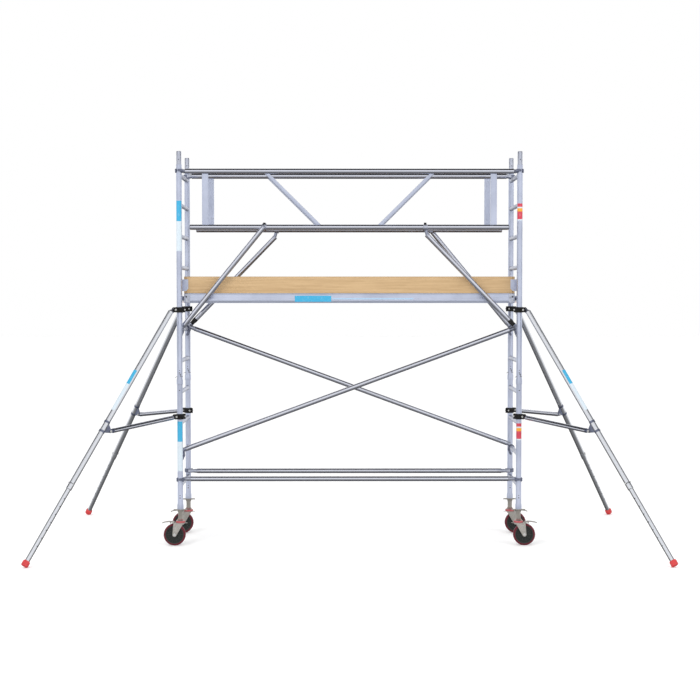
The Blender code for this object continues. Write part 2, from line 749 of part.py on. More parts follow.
def castor_pedal():
    """The brake pedal about its pin at the origin: a barrel, a dished tread and the shoe above the tyre."""
    end = PEDAL_END - PEDAL_PIN[0]
    barrel = rod(0.0068, (0, -0.0232, 0), (0, 0.0232, 0), 10)
    tread = [
        (0.002, 0.004),
        (0.040, 0.0045),
        (0.075, 0.000),
        (end, -0.0085),
        (end - 0.001, -0.0125),
        (0.075, -0.0042),
        (0.040, 0.0000),
        (0.002, -0.001),
    ]
    blade = plate(tread, 0.044, XZ)
    shoe = box((0.019, -0.015, -0.0135), (0.029, 0.015, 0.002))
    return combined([barrel, blade, shoe], [rod(0.0040, (0, -0.04, 0), (0, 0.04, 0), 10)])


def castors():
    stem, nut, fork, wheel, pedal = (
        castor_stem(), castor_nut(), castor_fork(), castor_wheel(), castor_pedal()
    )
    for corner, (x, _) in CORNERS.items():
        swivel = pivot(f"swivel_axis_{corner}", corner_place(corner, 0 if x > 0 else 180))
        part(f"castor_stem_{corner}", stem, ZINC, parent=swivel)
        part(f"castor_nut_{corner}", nut, ZINC, parent=swivel)
        part(f"castor_fork_{corner}", fork, ZINC, parent=swivel)
        axle = Matrix.Translation((TRAIL, 0, WHEEL_R))
        part(f"castor_wheel_{corner}", wheel, WHEEL, axle, swivel)
        pin = Matrix.Translation((PEDAL_PIN[0], 0, PEDAL_PIN[1]))
        part(f"castor_pedal_{corner}", pedal, ZINC, pin, swivel)


# ---------------------------------------------------------------- stabilisers


def leg_point(share, drop=0.0):
    """A point at a share of the leg's length, or below and inside the leg by drop."""
    top = Vector((LEG_TOP[0], 0, LEG_TOP[1]))
    foot = Vector((LEG_FOOT[0], 0, LEG_FOOT[1]))
    direction = (foot - top).normalized()
    below = Vector((direction.z, 0, -direction.x))
    return top + (foot - top) * share + below * drop


def clamp_band(z):
    """A two-ear band clamp round the upright, with its inner ears towards -X."""
    half = CLAMP_HEIGHT / 2
    over = half + 0.01
    band = rod(CLAMP_R, (0, 0, z - half), (0, 0, z + half), UPRIGHT_STEPS)
    ear = box((-0.056, -0.014, z - half + 0.001), (-0.030, 0.014, z + half - 0.001))
    bore = rod(CLAMP_BORE, (0, 0, z - over), (0, 0, z + over), UPRIGHT_STEPS)
    slit = box((-0.060, -0.003, z - CLAMP_HEIGHT), (-0.024, 0.003, z + CLAMP_HEIGHT))
    return [band, ear], [bore, slit]


def stabiliser_clamp():
    """The top clamp and the two cheeks that hold the leg's eye."""
    z = LEG_TOP[1]
    half = CLAMP_HEIGHT / 2 - 0.002
    made, cut = clamp_band(z)
    for side in (-1, 1):
        y = sorted((side * 0.0085, side * 0.0165))
        made.append(box((0.024, y[0], z - half), (0.074, y[1], z + half)))
    made.append(rod(0.005, (CLAMP_PIN_X, -0.020, z), (CLAMP_PIN_X, 0.020, z), 8))
    return combined(made, cut)


def stabiliser_tube():
    """The outer tube with its flattened eye at the top and the lug that the arm hangs on."""
    bore_share = 0.03
    joint = leg_point(LUG_SHARE, LUG_DROP)
    made = [rod(LEG_R, leg_point(OUTER_START), leg_point(OUTER_END), UPRIGHT_STEPS)]
    eye = [
        *arc((CLAMP_PIN_X, LEG_TOP[1]), 0.016, 60, 250, 6),
        leg_point(bore_share, 0.012).xz,
        leg_point(bore_share, -0.012).xz,
    ]
    made.append(plate(eye, 0.0155, XZ))
    lug = [
        leg_point(LUG_SHARE - 0.020).xz,
        *arc(joint.xz, 0.016, 200, 290, 4),
        leg_point(LUG_SHARE + 0.020).xz,
    ]
    made.append(plate(lug, 0.014, XZ))
    cut = [
        rod(LEG_BORE, leg_point(bore_share), leg_point(OUTER_END + 0.02), UPRIGHT_STEPS),
        rod(0.0062, (joint.x, -0.05, joint.z), (joint.x, 0.05, joint.z), 8),
        rod(0.0057, (CLAMP_PIN_X, -0.05, LEG_TOP[1]), (CLAMP_PIN_X, 0.05, LEG_TOP[1]), 8),
    ]
    return combined(made, cut)


def stabiliser_leg():
    """The inner tube that slides in the outer one, with its rubber foot on the floor."""
    middle = (FOOT_START + FOOT_END) / 2
    made = [
        rod(INNER_R, leg_point(INNER_START), leg_point(middle), UPRIGHT_STEPS),
        rod(FOOT_R, leg_point(FOOT_START), leg_point(FOOT_END), UPRIGHT_STEPS),
    ]
    bore = rod(INNER_BORE, leg_point(INNER_START - 0.01), leg_point(FOOT_START - 0.004), TUBE_STEPS)
    return combined(made, [bore])


def stabiliser_arm():
    """The arm between its own clamp on the upright and the leg's lug, with a fork over the lug."""
    made, cut = clamp_band(ARM_CLAMP_Z)
    joint = leg_point(LUG_SHARE, LUG_DROP)
    start = Vector((0.030, 0, ARM_CLAMP_Z))
    direction = (joint - start).normalized()
    tube_end = joint - direction * 0.035
    half = CLAMP_HEIGHT / 2 - 0.002
    cheeks = (0.024, -0.0165, ARM_CLAMP_Z - half), (0.066, 0.0165, ARM_CLAMP_Z + half)
    made.append(box(*cheeks))
    made.append(rod(0.015, start, start + direction * 0.06, TUBE_STEPS))
    made.append(rod(ARM_R, start + direction * 0.040, tube_end, UPRIGHT_STEPS))
    slope = math.atan2(direction.z, direction.x)
    place = Matrix.Translation(joint) @ Matrix.Rotation(-slope, 4, "Y")
    for side in (-1, 1):
        y = sorted((side * 0.0085, side * 0.0130))
        made.append(box((-0.055, y[0], -0.013), (0.012, y[1], 0.013), place))
    made.append(rod(0.0050, joint + Vector((0, -0.018, 0)), joint + Vector((0, 0.018, 0)), 8))
    cut.append(rod(ARM_BORE, start + direction * 0.075, tube_end - direction * 0.008, TUBE_STEPS))
    drain = start + direction * 0.10
    cut.append(rod(DRAIN_R, drain, drain + Vector((0, 0, -0.05)), BORE_STEPS))
    return combined(made, cut)


def stabilisers():
    clamp, tube, leg, arm = (
        stabiliser_clamp(), stabiliser_tube(), stabiliser_leg(), stabiliser_arm()
    )
    for corner, (x, y) in CORNERS.items():
        angle = y * (STABILISER_ANGLES[y] if x > 0 else 180 - STABILISER_ANGLES[y])
        upright = pivot(f"stabiliser_axis_{corner}", corner_place(corner, angle))
        part(f"stabiliser_clamp_{corner}", clamp, CLAMP, parent=upright)
        part(f"stabiliser_tube_{corner}", tube, BRIGHT, parent=upright)
        part(f"stabiliser_leg_{corner}", leg, FOOT, parent=upright)
        part(f"stabiliser_arm_{corner}", arm, BRIGHT, parent=upright)


end_frames()
guardrails_and_horizontals()
diagonal_braces()
guardrail_struts()
platform()
toe_boards()
castors()
stabilisers()
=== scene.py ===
"""Looks of the mobile tower scaffold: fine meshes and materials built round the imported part.

X runs along the bay, Y across it and Z up, in metres. Each piece stands where its CAD node is, and rides on
the same body."""

import json
import math

import bmesh
import bpy
from mathutils import Matrix, Vector


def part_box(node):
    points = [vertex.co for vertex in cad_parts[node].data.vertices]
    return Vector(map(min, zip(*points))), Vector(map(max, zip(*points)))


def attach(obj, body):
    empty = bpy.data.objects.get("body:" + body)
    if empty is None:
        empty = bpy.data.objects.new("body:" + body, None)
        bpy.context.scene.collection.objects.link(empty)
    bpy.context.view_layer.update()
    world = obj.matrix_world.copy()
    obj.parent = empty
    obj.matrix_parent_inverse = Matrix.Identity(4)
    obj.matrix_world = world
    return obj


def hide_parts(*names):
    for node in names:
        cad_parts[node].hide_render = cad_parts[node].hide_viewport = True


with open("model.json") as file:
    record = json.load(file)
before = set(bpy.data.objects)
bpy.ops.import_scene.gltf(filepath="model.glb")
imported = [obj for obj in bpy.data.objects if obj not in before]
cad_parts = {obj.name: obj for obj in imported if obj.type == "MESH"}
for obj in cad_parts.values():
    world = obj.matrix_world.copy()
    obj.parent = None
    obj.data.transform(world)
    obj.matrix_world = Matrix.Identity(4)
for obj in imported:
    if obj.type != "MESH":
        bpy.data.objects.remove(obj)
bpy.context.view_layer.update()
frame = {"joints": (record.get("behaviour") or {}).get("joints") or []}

SCENE = bpy.context.scene
JOINTS = {joint["name"]: joint for joint in frame["joints"]}

# ---------------------------------------------------------------- dimensions

END_X, SIDE_Y, _ = JOINTS["nut_turn_back_right"]["pos_m"]
LOWER_FRAME_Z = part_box("lower_frame_left")[0].z
JOINT_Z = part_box("upper_frame_left")[0].z
TOWER_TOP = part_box("upper_frame_left")[1].z
DECK_LOW, DECK_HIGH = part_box("platform_deck")
DECK_TOP = DECK_HIGH.z
SPIGOT_LENGTH = 0.12
UPPER_TOP = TOWER_TOP - SPIGOT_LENGTH
TUBE_R, TUBE_BORE = 0.0254, 0.0234
COLLAR_R = 0.029
SPIGOT_R, SPIGOT_BORE = 0.0225, 0.0205
RUNG_R, RUNG_BORE = 0.019, 0.017
RUNG_PITCH, FIRST_RUNG_Z, TOP_RUNG_Z = 0.285, 0.55, 3.384
LOWER_RUNGS, UPPER_RUNGS = (1, 2, 3, 4), (5, 6, 7, 8, 9, 10, 11)

RAIL_R, RAIL_BORE = 0.023, 0.0205
GUARD_R = 0.0245           # the two tubes of a guardrail
RAIL_INSET = 0.052
TOP_RAIL_Z, LOWER_RAIL_Z, HORIZONTAL_Z = 3.422, 2.913, 0.605
TOP_RAIL_HALF, LOWER_RAIL_HALF, HORIZONTAL_HALF = 1.50, 1.455, 1.46
POST_X, POST_SIZE = 1.317, (0.057, 0.020)
INNER_X, INNER_SIZE = (0.776, 0.261), (0.033, 0.018)
CLAW_HEIGHT = 0.034
UPRIGHT_CLAW, RUNG_CLAW, CLAW_WALL = 0.0278, 0.0209, 0.0080
STRUT_R, STRUT_BORE = 0.0225, 0.0200
DIAGONAL_Y, STRUT_Y, STRUT_START = 0.250, 0.300, 0.060
DIAGONAL_START, DIAGONAL_END = 0.047, 0.085  # from the lower and upper rung to the tube
DIAGONAL_NECKS = (0.012, 0.029)              # and to the start of each claw's neck
DIAGONAL_LIFT = 0.026                        # tube axis above the rungs' axes

BEAM_Y, BEAM_HEIGHT, PLATFORM_HALF = 0.262, 0.090, 1.520
HOOK_Y, HOOK_RUNG = 0.200, 7
HATCH_X = (0.62, 1.30)

WHEEL_R, TRAIL, FORK_TOP = 0.100, 0.053, 0.209
STEM_R, STEM_TOP, CUP_R = 0.0215, 0.720, 0.040
THREAD_LEAD = 0.008
PEDAL_PIN = (0.066, 0.2135)
FORK_Y, FORK_LEG = 0.029, 0.005

STABILISER_ANGLES = {-1: 42.9, 1: 44.2}  # front and back, in plan from the bay's length
LEG_TOP, LEG_FOOT = (0.088, 2.160), (1.620, 0.030)
LEG_R, LEG_BORE, INNER_R, INNER_BORE = 0.025, 0.0222, 0.0215, 0.0190
OUTER_START, OUTER_END, INNER_START, FOOT_START = 0.008, 0.72, 0.42, 0.987
ARM_R, ARM_CLAMP_Z = 0.020, 1.184
LUG_SHARE, LUG_DROP = 0.478, 0.075
CLAMP_BORE, CLAMP_R, CLAMP_HEIGHT, CLAMP_PIN_X = 0.0266, 0.0350, 0.050, 0.060

CORNERS = {
    "front_left": (-1, -1),
    "front_right": (1, -1),
    "back_left": (-1, 1),
    "back_right": (1, 1),
}
ENDS = {"left": -1, "right": 1}


def rung_z(number):
    return min(FIRST_RUNG_Z + RUNG_PITCH * (number - 1), TOP_RUNG_Z)


def at(x, y, z):
    return Matrix.Translation((x, y, z))


def turn(angle, axis="Z"):
    return Matrix.Rotation(math.radians(angle), 4, axis)


XZ = turn(90, "X")                                                 # stands a flat outline up, facing -Y
YZ = Matrix(((0, 0, 1, 0), (1, 0, 0, 0), (0, 1, 0, 0), (0, 0, 0, 1)))
HALF_TURN = turn(180)


def along(start, end):
    """The place that takes +Z from start towards end."""
    start, end = Vector(start), Vector(end)
    return Matrix.Translation(start) @ (end - start).to_track_quat("Z", "Y").to_matrix().to_4x4()


def arc(centre, radius, first, last, steps):
    angles = [math.radians(first + (last - first) * i / steps) for i in range(steps + 1)]
    return [(centre[0] + radius * math.cos(a), centre[1] + radius * math.sin(a)) for a in angles]


# ---------------------------------------------------------------- materials


class Finish:
    """A Principled material and the small node chains that give it its detail."""

    def __init__(self, name, colour, rough, metallic=0.0, coat=0.0):
        self.material = bpy.data.materials.new(name)
        self.material.use_nodes = True
        self.material.diffuse_color = (*colour, 1)
        self.tree = self.material.node_tree
        self.shader = self.tree.nodes["Principled BSDF"]
        self.colour = (*colour, 1)
        self.shader.inputs["Base Color"].default_value = self.colour
        self.shader.inputs["Roughness"].default_value = rough
        self.shader.inputs["Metallic"].default_value = metallic
        self.shader.inputs["Coat Weight"].default_value = coat
        self.height = None

    def node(self, kind, inputs=(), **settings):
        made = self.tree.nodes.new(kind)
        for key, value in settings.items():
            setattr(made, key, value)
        for key, value in dict(inputs).items():
            if isinstance(value, bpy.types.NodeSocket):
                self.tree.links.new(value, made.inputs[key])
            else:
                made.inputs[key].default_value = value
        return made

    def link(self, value, key):
        self.tree.links.new(value, self.shader.inputs[key])

    def place(self, source, scale):
        """Coordinates in metres, from "UV" or "Object", stretched by scale."""
        start = self.node("ShaderNodeTexCoord").outputs[source]
        return self.node("ShaderNodeMapping", {"Vector": start, "Scale": scale}).outputs["Vector"]

    def noise(self, vector, scale=1.0, detail=3.0, rough=0.55):
        inputs = {"Vector": vector, "Scale": scale, "Detail": detail, "Roughness": rough}
        return self.node("ShaderNodeTexNoise", inputs).outputs["Fac"]

    def spread(self, value, low, high, start=0.3, end=0.7):
        """A noise between start and end taken to low and high."""
        inputs = {"Value": value, "From Min": start, "From Max": end, "To Min": low, "To Max": high}
        return self.node("ShaderNodeMapRange", inputs).outputs["Result"]

    def mix(self, factor, first, second, blend="MIX"):
        made = self.node("ShaderNodeMix", data_type="RGBA", blend_type=blend)
        for value, socket in ((factor, made.inputs[0]), (first, made.inputs[6]), (second, made.inputs[7])):
            if isinstance(value, bpy.types.NodeSocket):
                self.tree.links.new(value, socket)
            else:
                socket.default_value = value
        return made.outputs[2]

    def shaded(self, factor, amount, colour=None):
        """The colour, darker where the factor is low."""
        base = colour or self.colour
        dark = self.mix(1.0, base, (amount, amount, amount, 1), "MULTIPLY")
        return self.mix(factor, dark, base)

    def bump(self, value, strength, distance):
        inputs = {"Height": value, "Strength": strength, "Distance": distance}
        if self.height:
            inputs["Normal"] = self.height
        self.height = self.node("ShaderNodeBump", inputs).outputs["Normal"]
        self.link(self.height, "Normal")

    def worn_edges(self, colour, amount=0.6, start=0.52, end=0.60):
        """Bare metal where the surface turns sharply outwards."""
        edge = self.node("ShaderNodeNewGeometry").outputs["Pointiness"]
        patches = self.noise(self.place("Object", (90, 90, 90)), detail=4)
        worn = self.spread(edge, 0.0, amount, start, end)
        both = self.node(
            "ShaderNodeMath", {0: worn, 1: self.spread(patches, 0, 1, 0.4, 0.6)}, operation="MULTIPLY"
        )
        linked = self.shader.inputs["Base Color"].links
        under = linked[0].from_socket if linked else self.colour
        self.link(self.mix(both.outputs[0], under, (*colour, 1)), "Base Color")


def drawn_tube(name, colour, rough, blotch, lines):
    """Extruded or drawn aluminium: fine lines along the tube, faint handling marks and dull patches."""
    made = Finish(name, colour, rough, 1.0)
    die = made.noise(made.place("UV", (1.5, 900, 1)), detail=2)
    streak = made.noise(made.place("UV", (0.8, 70, 1)), detail=3)
    patch = made.noise(made.place("Object", (5, 5, 5)), detail=5)
    scuff = made.noise(made.place("UV", (45, 260, 1)), detail=6, rough=0.75)
    tone = made.shaded(made.spread(streak, 0, 1), 1 - blotch)
    tone = made.mix(made.spread(scuff, 0.0, 0.30, 0.60, 0.74), tone, (*[0.80 * c for c in colour], 1))
    made.link(tone, "Base Color")
    made.link(made.spread(patch, rough * 0.78, rough * 1.3), "Roughness")
    made.bump(die, lines, 0.0003)
    made.bump(scuff, lines * 0.5, 0.0004)
    return made.material


def cast_metal(name, colour, rough, grain=0.35, metallic=1.0, mottle=0.8):
    """Sand-cast or zinc-plated metal: a grainy skin and cloudy tone."""
    made = Finish(name, colour, rough, metallic)
    cloud = made.noise(made.place("Object", (38, 38, 38)), detail=6)
    fine = made.noise(made.place("Object", (900, 900, 900)), detail=2)
    made.link(made.shaded(made.spread(cloud, 0, 1), mottle), "Base Color")
    made.link(made.spread(cloud, rough * 1.2, rough * 0.85), "Roughness")
    made.bump(fine, grain, 0.0003)
    made.worn_edges([min(1, 1.35 * c) for c in colour], 0.5)
    return made.material


def zinc_plate():
    """Galvanised steel with its crystal patches."""
    made = Finish("zinc_plate", (0.50, 0.475, 0.44), 0.38, 0.9)
    crystal = made.node("ShaderNodeTexVoronoi", {"Vector": made.place("Object", (140, 140, 140))})
    cloud = made.noise(made.place("Object", (22, 22, 22)), detail=5)
    tone = made.shaded(crystal.outputs["Color"], 0.82)
    tone = made.mix(made.spread(cloud, 0, 0.35), tone, (0.62, 0.57, 0.50, 1))
    made.link(tone, "Base Color")
    made.link(made.spread(cloud, 0.46, 0.30), "Roughness")
    made.bump(made.noise(made.place("Object", (700, 700, 700))), 0.15, 0.0003)
    made.worn_edges((0.78, 0.76, 0.73), 0.4)
    return made.material


def coated(name, colour, rough, wear=(0.35, 0.35, 0.36), grain=0.25, shine=0.5):
    """Paint, powder coat or moulded plastic, rubbed at its edges."""
    made = Finish(name, colour, rough)
    made.shader.inputs["Specular IOR Level"].default_value = shine
    cloud = made.noise(made.place("Object", (30, 30, 30)), detail=5)
    fine = made.noise(made.place("Object", (1300, 1300, 1300)), detail=2)
    made.link(made.shaded(made.spread(cloud, 0, 1), 0.78), "Base Color")
    made.link(made.spread(cloud, rough * 0.85, rough * 1.2), "Roughness")
    made.bump(fine, grain, 0.0003)
    made.worn_edges(wear, 0.35)
    return made.material


def label(name, colour):
    """A plain printed film, slightly glossy and scuffed."""
    made = Finish(name, colour, 0.32, coat=0.2)
    scuff = made.noise(made.place("Object", (120, 120, 18)), detail=6, rough=0.7)
    made.link(
        made.mix(made.spread(scuff, 0.0, 0.35, 0.58, 0.72), made.colour, (0.75, 0.78, 0.82, 1)),
        "Base Color"
    )
    made.link(made.spread(scuff, 0.26, 0.45), "Roughness")
    made.bump(scuff, 0.08, 0.0003)
    return made.material


def plywood_face():
    """Varnished birch veneer: long grain along X with pale and dark streaks and a few pores."""
    made = Finish("plywood_face", (0.48, 0.33, 0.17), 0.50, coat=0.10)
    warp = made.noise(made.place("Object", (1.3, 9, 5)), detail=3)
    flow = made.node(
        "ShaderNodeVectorMath", {0: made.place("Object", (0.9, 26, 26)), 1: warp}, operation="ADD"
    )
    grain = made.noise(flow.outputs[0], 2.2, detail=8, rough=0.62)
    fine = made.noise(made.place("Object", (6, 420, 420)), detail=3)
    pores = made.noise(made.place("Object", (60, 900, 900)), detail=2)
    tone = made.mix(made.spread(grain, 0, 1, 0.34, 0.68), (0.545, 0.375, 0.200, 1), (0.420, 0.275, 0.135, 1))
    tone = made.mix(made.spread(fine, 0.0, 0.22), tone, (0.36, 0.23, 0.11, 1))
    tone = made.mix(made.spread(pores, 0.0, 0.5, 0.66, 0.78), tone, (0.25, 0.145, 0.07, 1))
    made.link(tone, "Base Color")
    made.link(made.spread(grain, 0.38, 0.55), "Roughness")
    made.bump(fine, 0.18, 0.0004)
    made.bump(pores, 0.12, 0.0003)
    return made.material


def plywood_edge():
    """The cut edge of a board: its plies in turn light and dark, along the board's thickness in Y."""
    made = Finish("plywood_edge", (0.60, 0.43, 0.24), 0.62)
    wave = made.node(
        "ShaderNodeTexWave",
        {"Vector": made.place("Object", (3, 330, 330)), "Scale": 0.32, "Distortion": 1.2, "Detail": 3.0},
        bands_direction="Y",
    )
    fibre = made.noise(made.place("Object", (50, 500, 500)), detail=4)
    tone = made.mix(wave.outputs["Fac"], (0.30, 0.19, 0.09, 1), (0.52, 0.37, 0.21, 1))
    made.link(made.mix(made.spread(fibre, 0, 0.35), tone, (0.30, 0.18, 0.09, 1)), "Base Color")
    made.bump(wave.outputs["Fac"], 0.2, 0.0004)
    made.bump(fibre, 0.3, 0.0003)
    return made.material


def deck_film():
    """Phenolic film with a pressed anti-slip mesh, scuffed where people walk. The mesh's sunk lines are
    darkened in painted shade.
    """
    made = Finish("deck_film", (0.105, 0.060, 0.035), 0.5)
    mesh = made.node(
        "ShaderNodeTexVoronoi", {"Vector": made.place("Object", (170, 170, 1)), "Randomness": 0.0},
        feature="DISTANCE_TO_EDGE",
    ).outputs["Distance"]
    walk = made.noise(made.place("Object", (5, 8, 5)), detail=6, rough=0.65)
    mesh_height_and_groove_shade = made.spread(mesh, 0, 1, 0.02, 0.12)
    # The mesh's sunk lines are darkened to 0.65 of the film's colour: painted shade in the grooves, on top of
    # the bump.
    tone = made.mix(
        made.spread(walk, 0.0, 0.45, 0.45, 0.75), made.shaded(mesh_height_and_groove_shade, 0.65), (0.24, 0.18, 0.14, 1)
    )
    made.link(tone, "Base Color")
    made.link(made.spread(walk, 0.42, 0.66), "Roughness")
    made.bump(mesh_height_and_groove_shade, 0.6, 0.0008)
    return made.material


UPRIGHT = drawn_tube("extruded_aluminium", (0.655, 0.705, 0.865), 0.42, 0.10, 0.10)
RUNG = drawn_tube("rung_aluminium", (0.620, 0.650, 0.755), 0.40, 0.08, 0.10)
BRIGHT = drawn_tube("drawn_aluminium", (0.700, 0.720, 0.810), 0.15, 0.08, 0.06)
LEG_TUBE = drawn_tube("leg_aluminium", (0.760, 0.780, 0.830), 0.16, 0.08, 0.06)
WELD_METAL = cast_metal("weld_bead", (0.56, 0.59, 0.70), 0.40, 0.15)
CAST = cast_metal("cast_aluminium", (0.40, 0.43, 0.54), 0.42)
DARK_CAST = cast_metal("dark_casting", (0.22, 0.24, 0.33), 0.42)
PALE_CAST = cast_metal("pale_casting", (0.62, 0.65, 0.76), 0.44)
ZINC = zinc_plate()
BOLT = cast_metal("bolt_zinc", (0.78, 0.78, 0.76), 0.30, 0.08)
DARK_STEEL = cast_metal("dark_steel", (0.09, 0.09, 0.10), 0.42, 0.15)
BLACK = coated("black_coat", (0.0065, 0.0060, 0.0060), 0.50, (0.05, 0.05, 0.05), shine=0.15)
BLACK_PLASTIC = coated("black_plastic", (0.010, 0.010, 0.011), 0.55, (0.06, 0.06, 0.06), shine=0.2)
RED_PLASTIC = coated("red_plastic", (0.62, 0.035, 0.040), 0.40, (0.75, 0.20, 0.18))
TYRE = coated("tyre_rubber", (0.120, 0.009, 0.020), 0.55, (0.20, 0.03, 0.04), shine=0.3)
CORE = coated("wheel_core", (0.026, 0.030, 0.028), 0.50, (0.08, 0.08, 0.08), shine=0.3)
SEAL = coated("race_seal", (0.45, 0.085, 0.095), 0.45, (0.60, 0.25, 0.25))
# Painted shade: drilled holes are drawn as dark discs, their darkness standing for the shade inside each
# hole.
HOLE_SHADE = coated("hole_painted_shade", (0.035, 0.037, 0.050), 0.80, (0.06, 0.06, 0.07))
FILM_BLUE = label("label_blue", (0.030, 0.335, 0.560))
FILM_WHITE = label("label_white", (0.540, 0.620, 0.680))
FILM_PALE = label("label_pale_blue", (0.330, 0.480, 0.640))
FILM_RED = label("label_red", (0.520, 0.035, 0.065))
FILM_AMBER = label("label_amber", (0.760, 0.330, 0.020))
FACE = plywood_face()
EDGE = plywood_edge()
DECK = deck_film()


# ---------------------------------------------------------------- shapes


class Shape:
    """Closed shells in one mesh, with UVs in metres: U along a shell and V round it."""

    def __init__(self, *materials):
        self.bm = bmesh.new()
        self.uv = self.bm.loops.layers.uv.new("UVMap")
        self.materials = []
        self.using = 0
        for material in materials:
            self.use(material)

    def use(self, material):
        """The shells made next have this material."""
        if material not in self.materials:
            self.materials.append(material)
        self.using = self.materials.index(material)
        return self

    def face(self, corners, uvs):
        made = self.bm.faces.new(corners)
        made.material_index = self.using
        made.smooth = True
        for loop, uv in zip(made.loops, uvs):
            loop[self.uv].uv = uv

    def loft(self, rings, closed=False, around=0.1):
        """Skins rings of points that have the same count, or one point at a tip. Open ends are capped."""
        made = [[self.bm.verts.new(point) for point in ring] for ring in rings]
        count = max(len(ring) for ring in made)
        distance = 0.0
        pairs = list(zip(range(len(made)), range(1, len(made))))
        if closed:
            pairs.append((len(made) - 1, 0))
        for a, b in pairs:
            first, second = made[a], made[b]
            step = (second[0].co - first[0].co).length
            for i in range(count):
                j = (i + 1) % count
                low, high = around * i / count, around * (i + 1) / count
                u, v = distance, distance + step
                if len(first) == 1:
                    self.face((first[0], second[j], second[i]), ((u, low), (v, high), (v, low)))
                elif len(second) == 1:
                    self.face((first[i], first[j], second[0]), ((u, low), (u, high), (v, low)))
                else:
                    corners = (first[i], first[j], second[j], second[i])
                    self.face(corners, ((u, low), (u, high), (v, high), (v, low)))
            distance += step
        if not closed:
            for ring in (made[0], made[-1]):
                if len(ring) > 2:
                    flat = [(math.cos(6.283 * i / count), math.sin(6.283 * i / count)) for i in range(count)]
                    self.face(ring, [(around * x, around * y) for x, y in flat])
        return self

    def lathe(self, profile, place=Matrix(), steps=32, closed=False, ripple=0.0):
        """(radius, height) points turned about Z. A closed profile makes a ring or a bored tube."""
        rings = []
        for radius, height in profile:
            if radius < 1e-6:
                rings.append([place @ Vector((0, 0, height))])
                continue
            ring = []
            for i in range(steps):
                angle = 2 * math.pi * (i + 0.5) / steps
                here = radius - (ripple if i % 2 else 0.0)
                ring.append(place @ Vector((here * math.cos(angle), here * math.sin(angle), height)))
            rings.append(ring)
        return self.loft(rings, closed, 2 * math.pi * max(radius for radius, _ in profile))

    def tube(self, start, end, radius, bore=None, steps=32, edge=0.0008, ripple=0.0):
        """A tube between two points, bored or solid, with small chamfers."""
        length = (Vector(end) - Vector(start)).length
        outer = [(radius - edge, 0), (radius, edge), (radius, length - edge), (radius - edge, length)]
        if bore:
            inner = [(bore, length), (bore, 0)]
            return self.lathe(outer + inner, along(start, end), steps, closed=True, ripple=ripple)
        return self.lathe([(0, 0), *outer, (0, length)], along(start, end), steps, ripple=ripple)

    def prism(self, outline, thickness, place=Matrix(), edge=0.0):
        """A flat outline in XY with half its thickness on each side, and chamfered edges if asked."""
        half = thickness / 2
        levels = [
            (-half, edge), (-half + edge, 0.0), (half - edge, 0.0), (half, edge)
        ] if edge else [(-half, 0), (half, 0)]
        rings = []
        for z, inset in levels:
            ring = []
            for i, (x, y) in enumerate(outline):
                before, after = Vector(outline[i - 1]), Vector(outline[(i + 1) % len(outline)])
                here = Vector((x, y))
                if inset:
                    tangent = (after - before).normalized()
                    normal = Vector((tangent.y, -tangent.x))
                    if not self.anticlockwise(outline):
                        normal = -normal
                    here -= normal * inset
                ring.append(place @ Vector((here.x, here.y, z)))
            rings.append(ring)
        return self.loft(rings, around=0.2)

    @staticmethod
    def anticlockwise(outline):
        turned = 0.0
        for (x0, y0), (x1, y1) in zip(outline, outline[1:] + outline[:1]):
            turned += x0 * y1 - x1 * y0
        return turned > 0

    def block(self, low, high, place=Matrix(), edge=0.001):
        """A box with its upright and level edges chamfered."""
        (x0, y0, z0), (x1, y1, z1) = low, high
        e = min(edge, (x1 - x0) / 4, (y1 - y0) / 4, (z1 - z0) / 4)
        outline = [
            (x0 + e, y0), (x1 - e, y0), (x1, y0 + e), (x1, y1 - e), (x1 - e, y1), (x0 + e, y1),
            (x0, y1 - e), (x0, y0 + e)
        ]
        return self.prism(outline, z1 - z0, place @ at(0, 0, (z0 + z1) / 2), e)

    def sweep(self, points, radius, steps=10, closed=False):
        """A round wire or bead along points. The radius may change from point to point."""
        points = [Vector(point) for point in points]
        count = len(points)
        radii = radius if isinstance(radius, list) else [radius] * count
        rings = []
        normal = None
        for i, point in enumerate(points):
            after = points[(i + 1) % count] if closed or i + 1 < count else point
            before = points[i - 1] if closed or i else point
            tangent = (after - before).normalized()
            if normal is None:
                normal = tangent.orthogonal().normalized()
            normal = (normal - tangent * normal.dot(tangent)).normalized()
            other = tangent.cross(normal)
            ring = []
            for k in range(steps):
                angle = 2 * math.pi * k / steps
                ring.append(point + radii[i] * (math.cos(angle) * normal + math.sin(angle) * other))
            rings.append(ring)
        return self.loft(rings, closed, 2 * math.pi * max(radii))

    def bolt(self, place, size=0.008, height=0.006, washer=0.0):
        """A hexagon head on a washer, with its base at the origin and its top towards +Z."""
        if washer:
            self.lathe([(0, 0), (washer, 0), (washer, 0.0016), (0, 0.0016)], place, 24)
        base = 0.0016 if washer else 0.0
        top = base + height
        self.lathe([(0, base), (size, base), (size, top - 0.001), (size * 0.86, top), (0, top)], place, 6)
        tip = top + size * 0.35
        return self.lathe(
            [(0, top), (size * 0.5, top), (size * 0.5, tip - 0.0006), (size * 0.4, tip), (0, tip)], place,
            16
        )

    def dot(self, place, radius=0.0055):
        """A drilled hole on a surface, as a thin sunk disc with a bright rim; the disc's dark material is
        painted shade standing for the hole's dark inside.
        """
        self.lathe([(0, -0.003), (radius, -0.003), (radius, 0.0003), (0, 0.0003)], place, 20)
        return self

    def mesh(self, name):
        bmesh.ops.recalc_face_normals(self.bm, faces=self.bm.faces)
        made = bpy.data.meshes.new(name)
        self.bm.to_mesh(made)
        self.bm.free()
        for material in self.materials:
            made.materials.append(material)
        made.set_sharp_from_angle(angle=math.radians(34))
        return made


def piece(name, mesh, body, nodes=(), place=Matrix()):
    """A visible piece that rides on a body and stands for the named CAD nodes."""
    made = bpy.data.objects.new(name, mesh)
    SCENE.collection.objects.link(made)
    made.matrix_world = place
    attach(made, body)
    if nodes:
        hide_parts(*nodes)
    return made


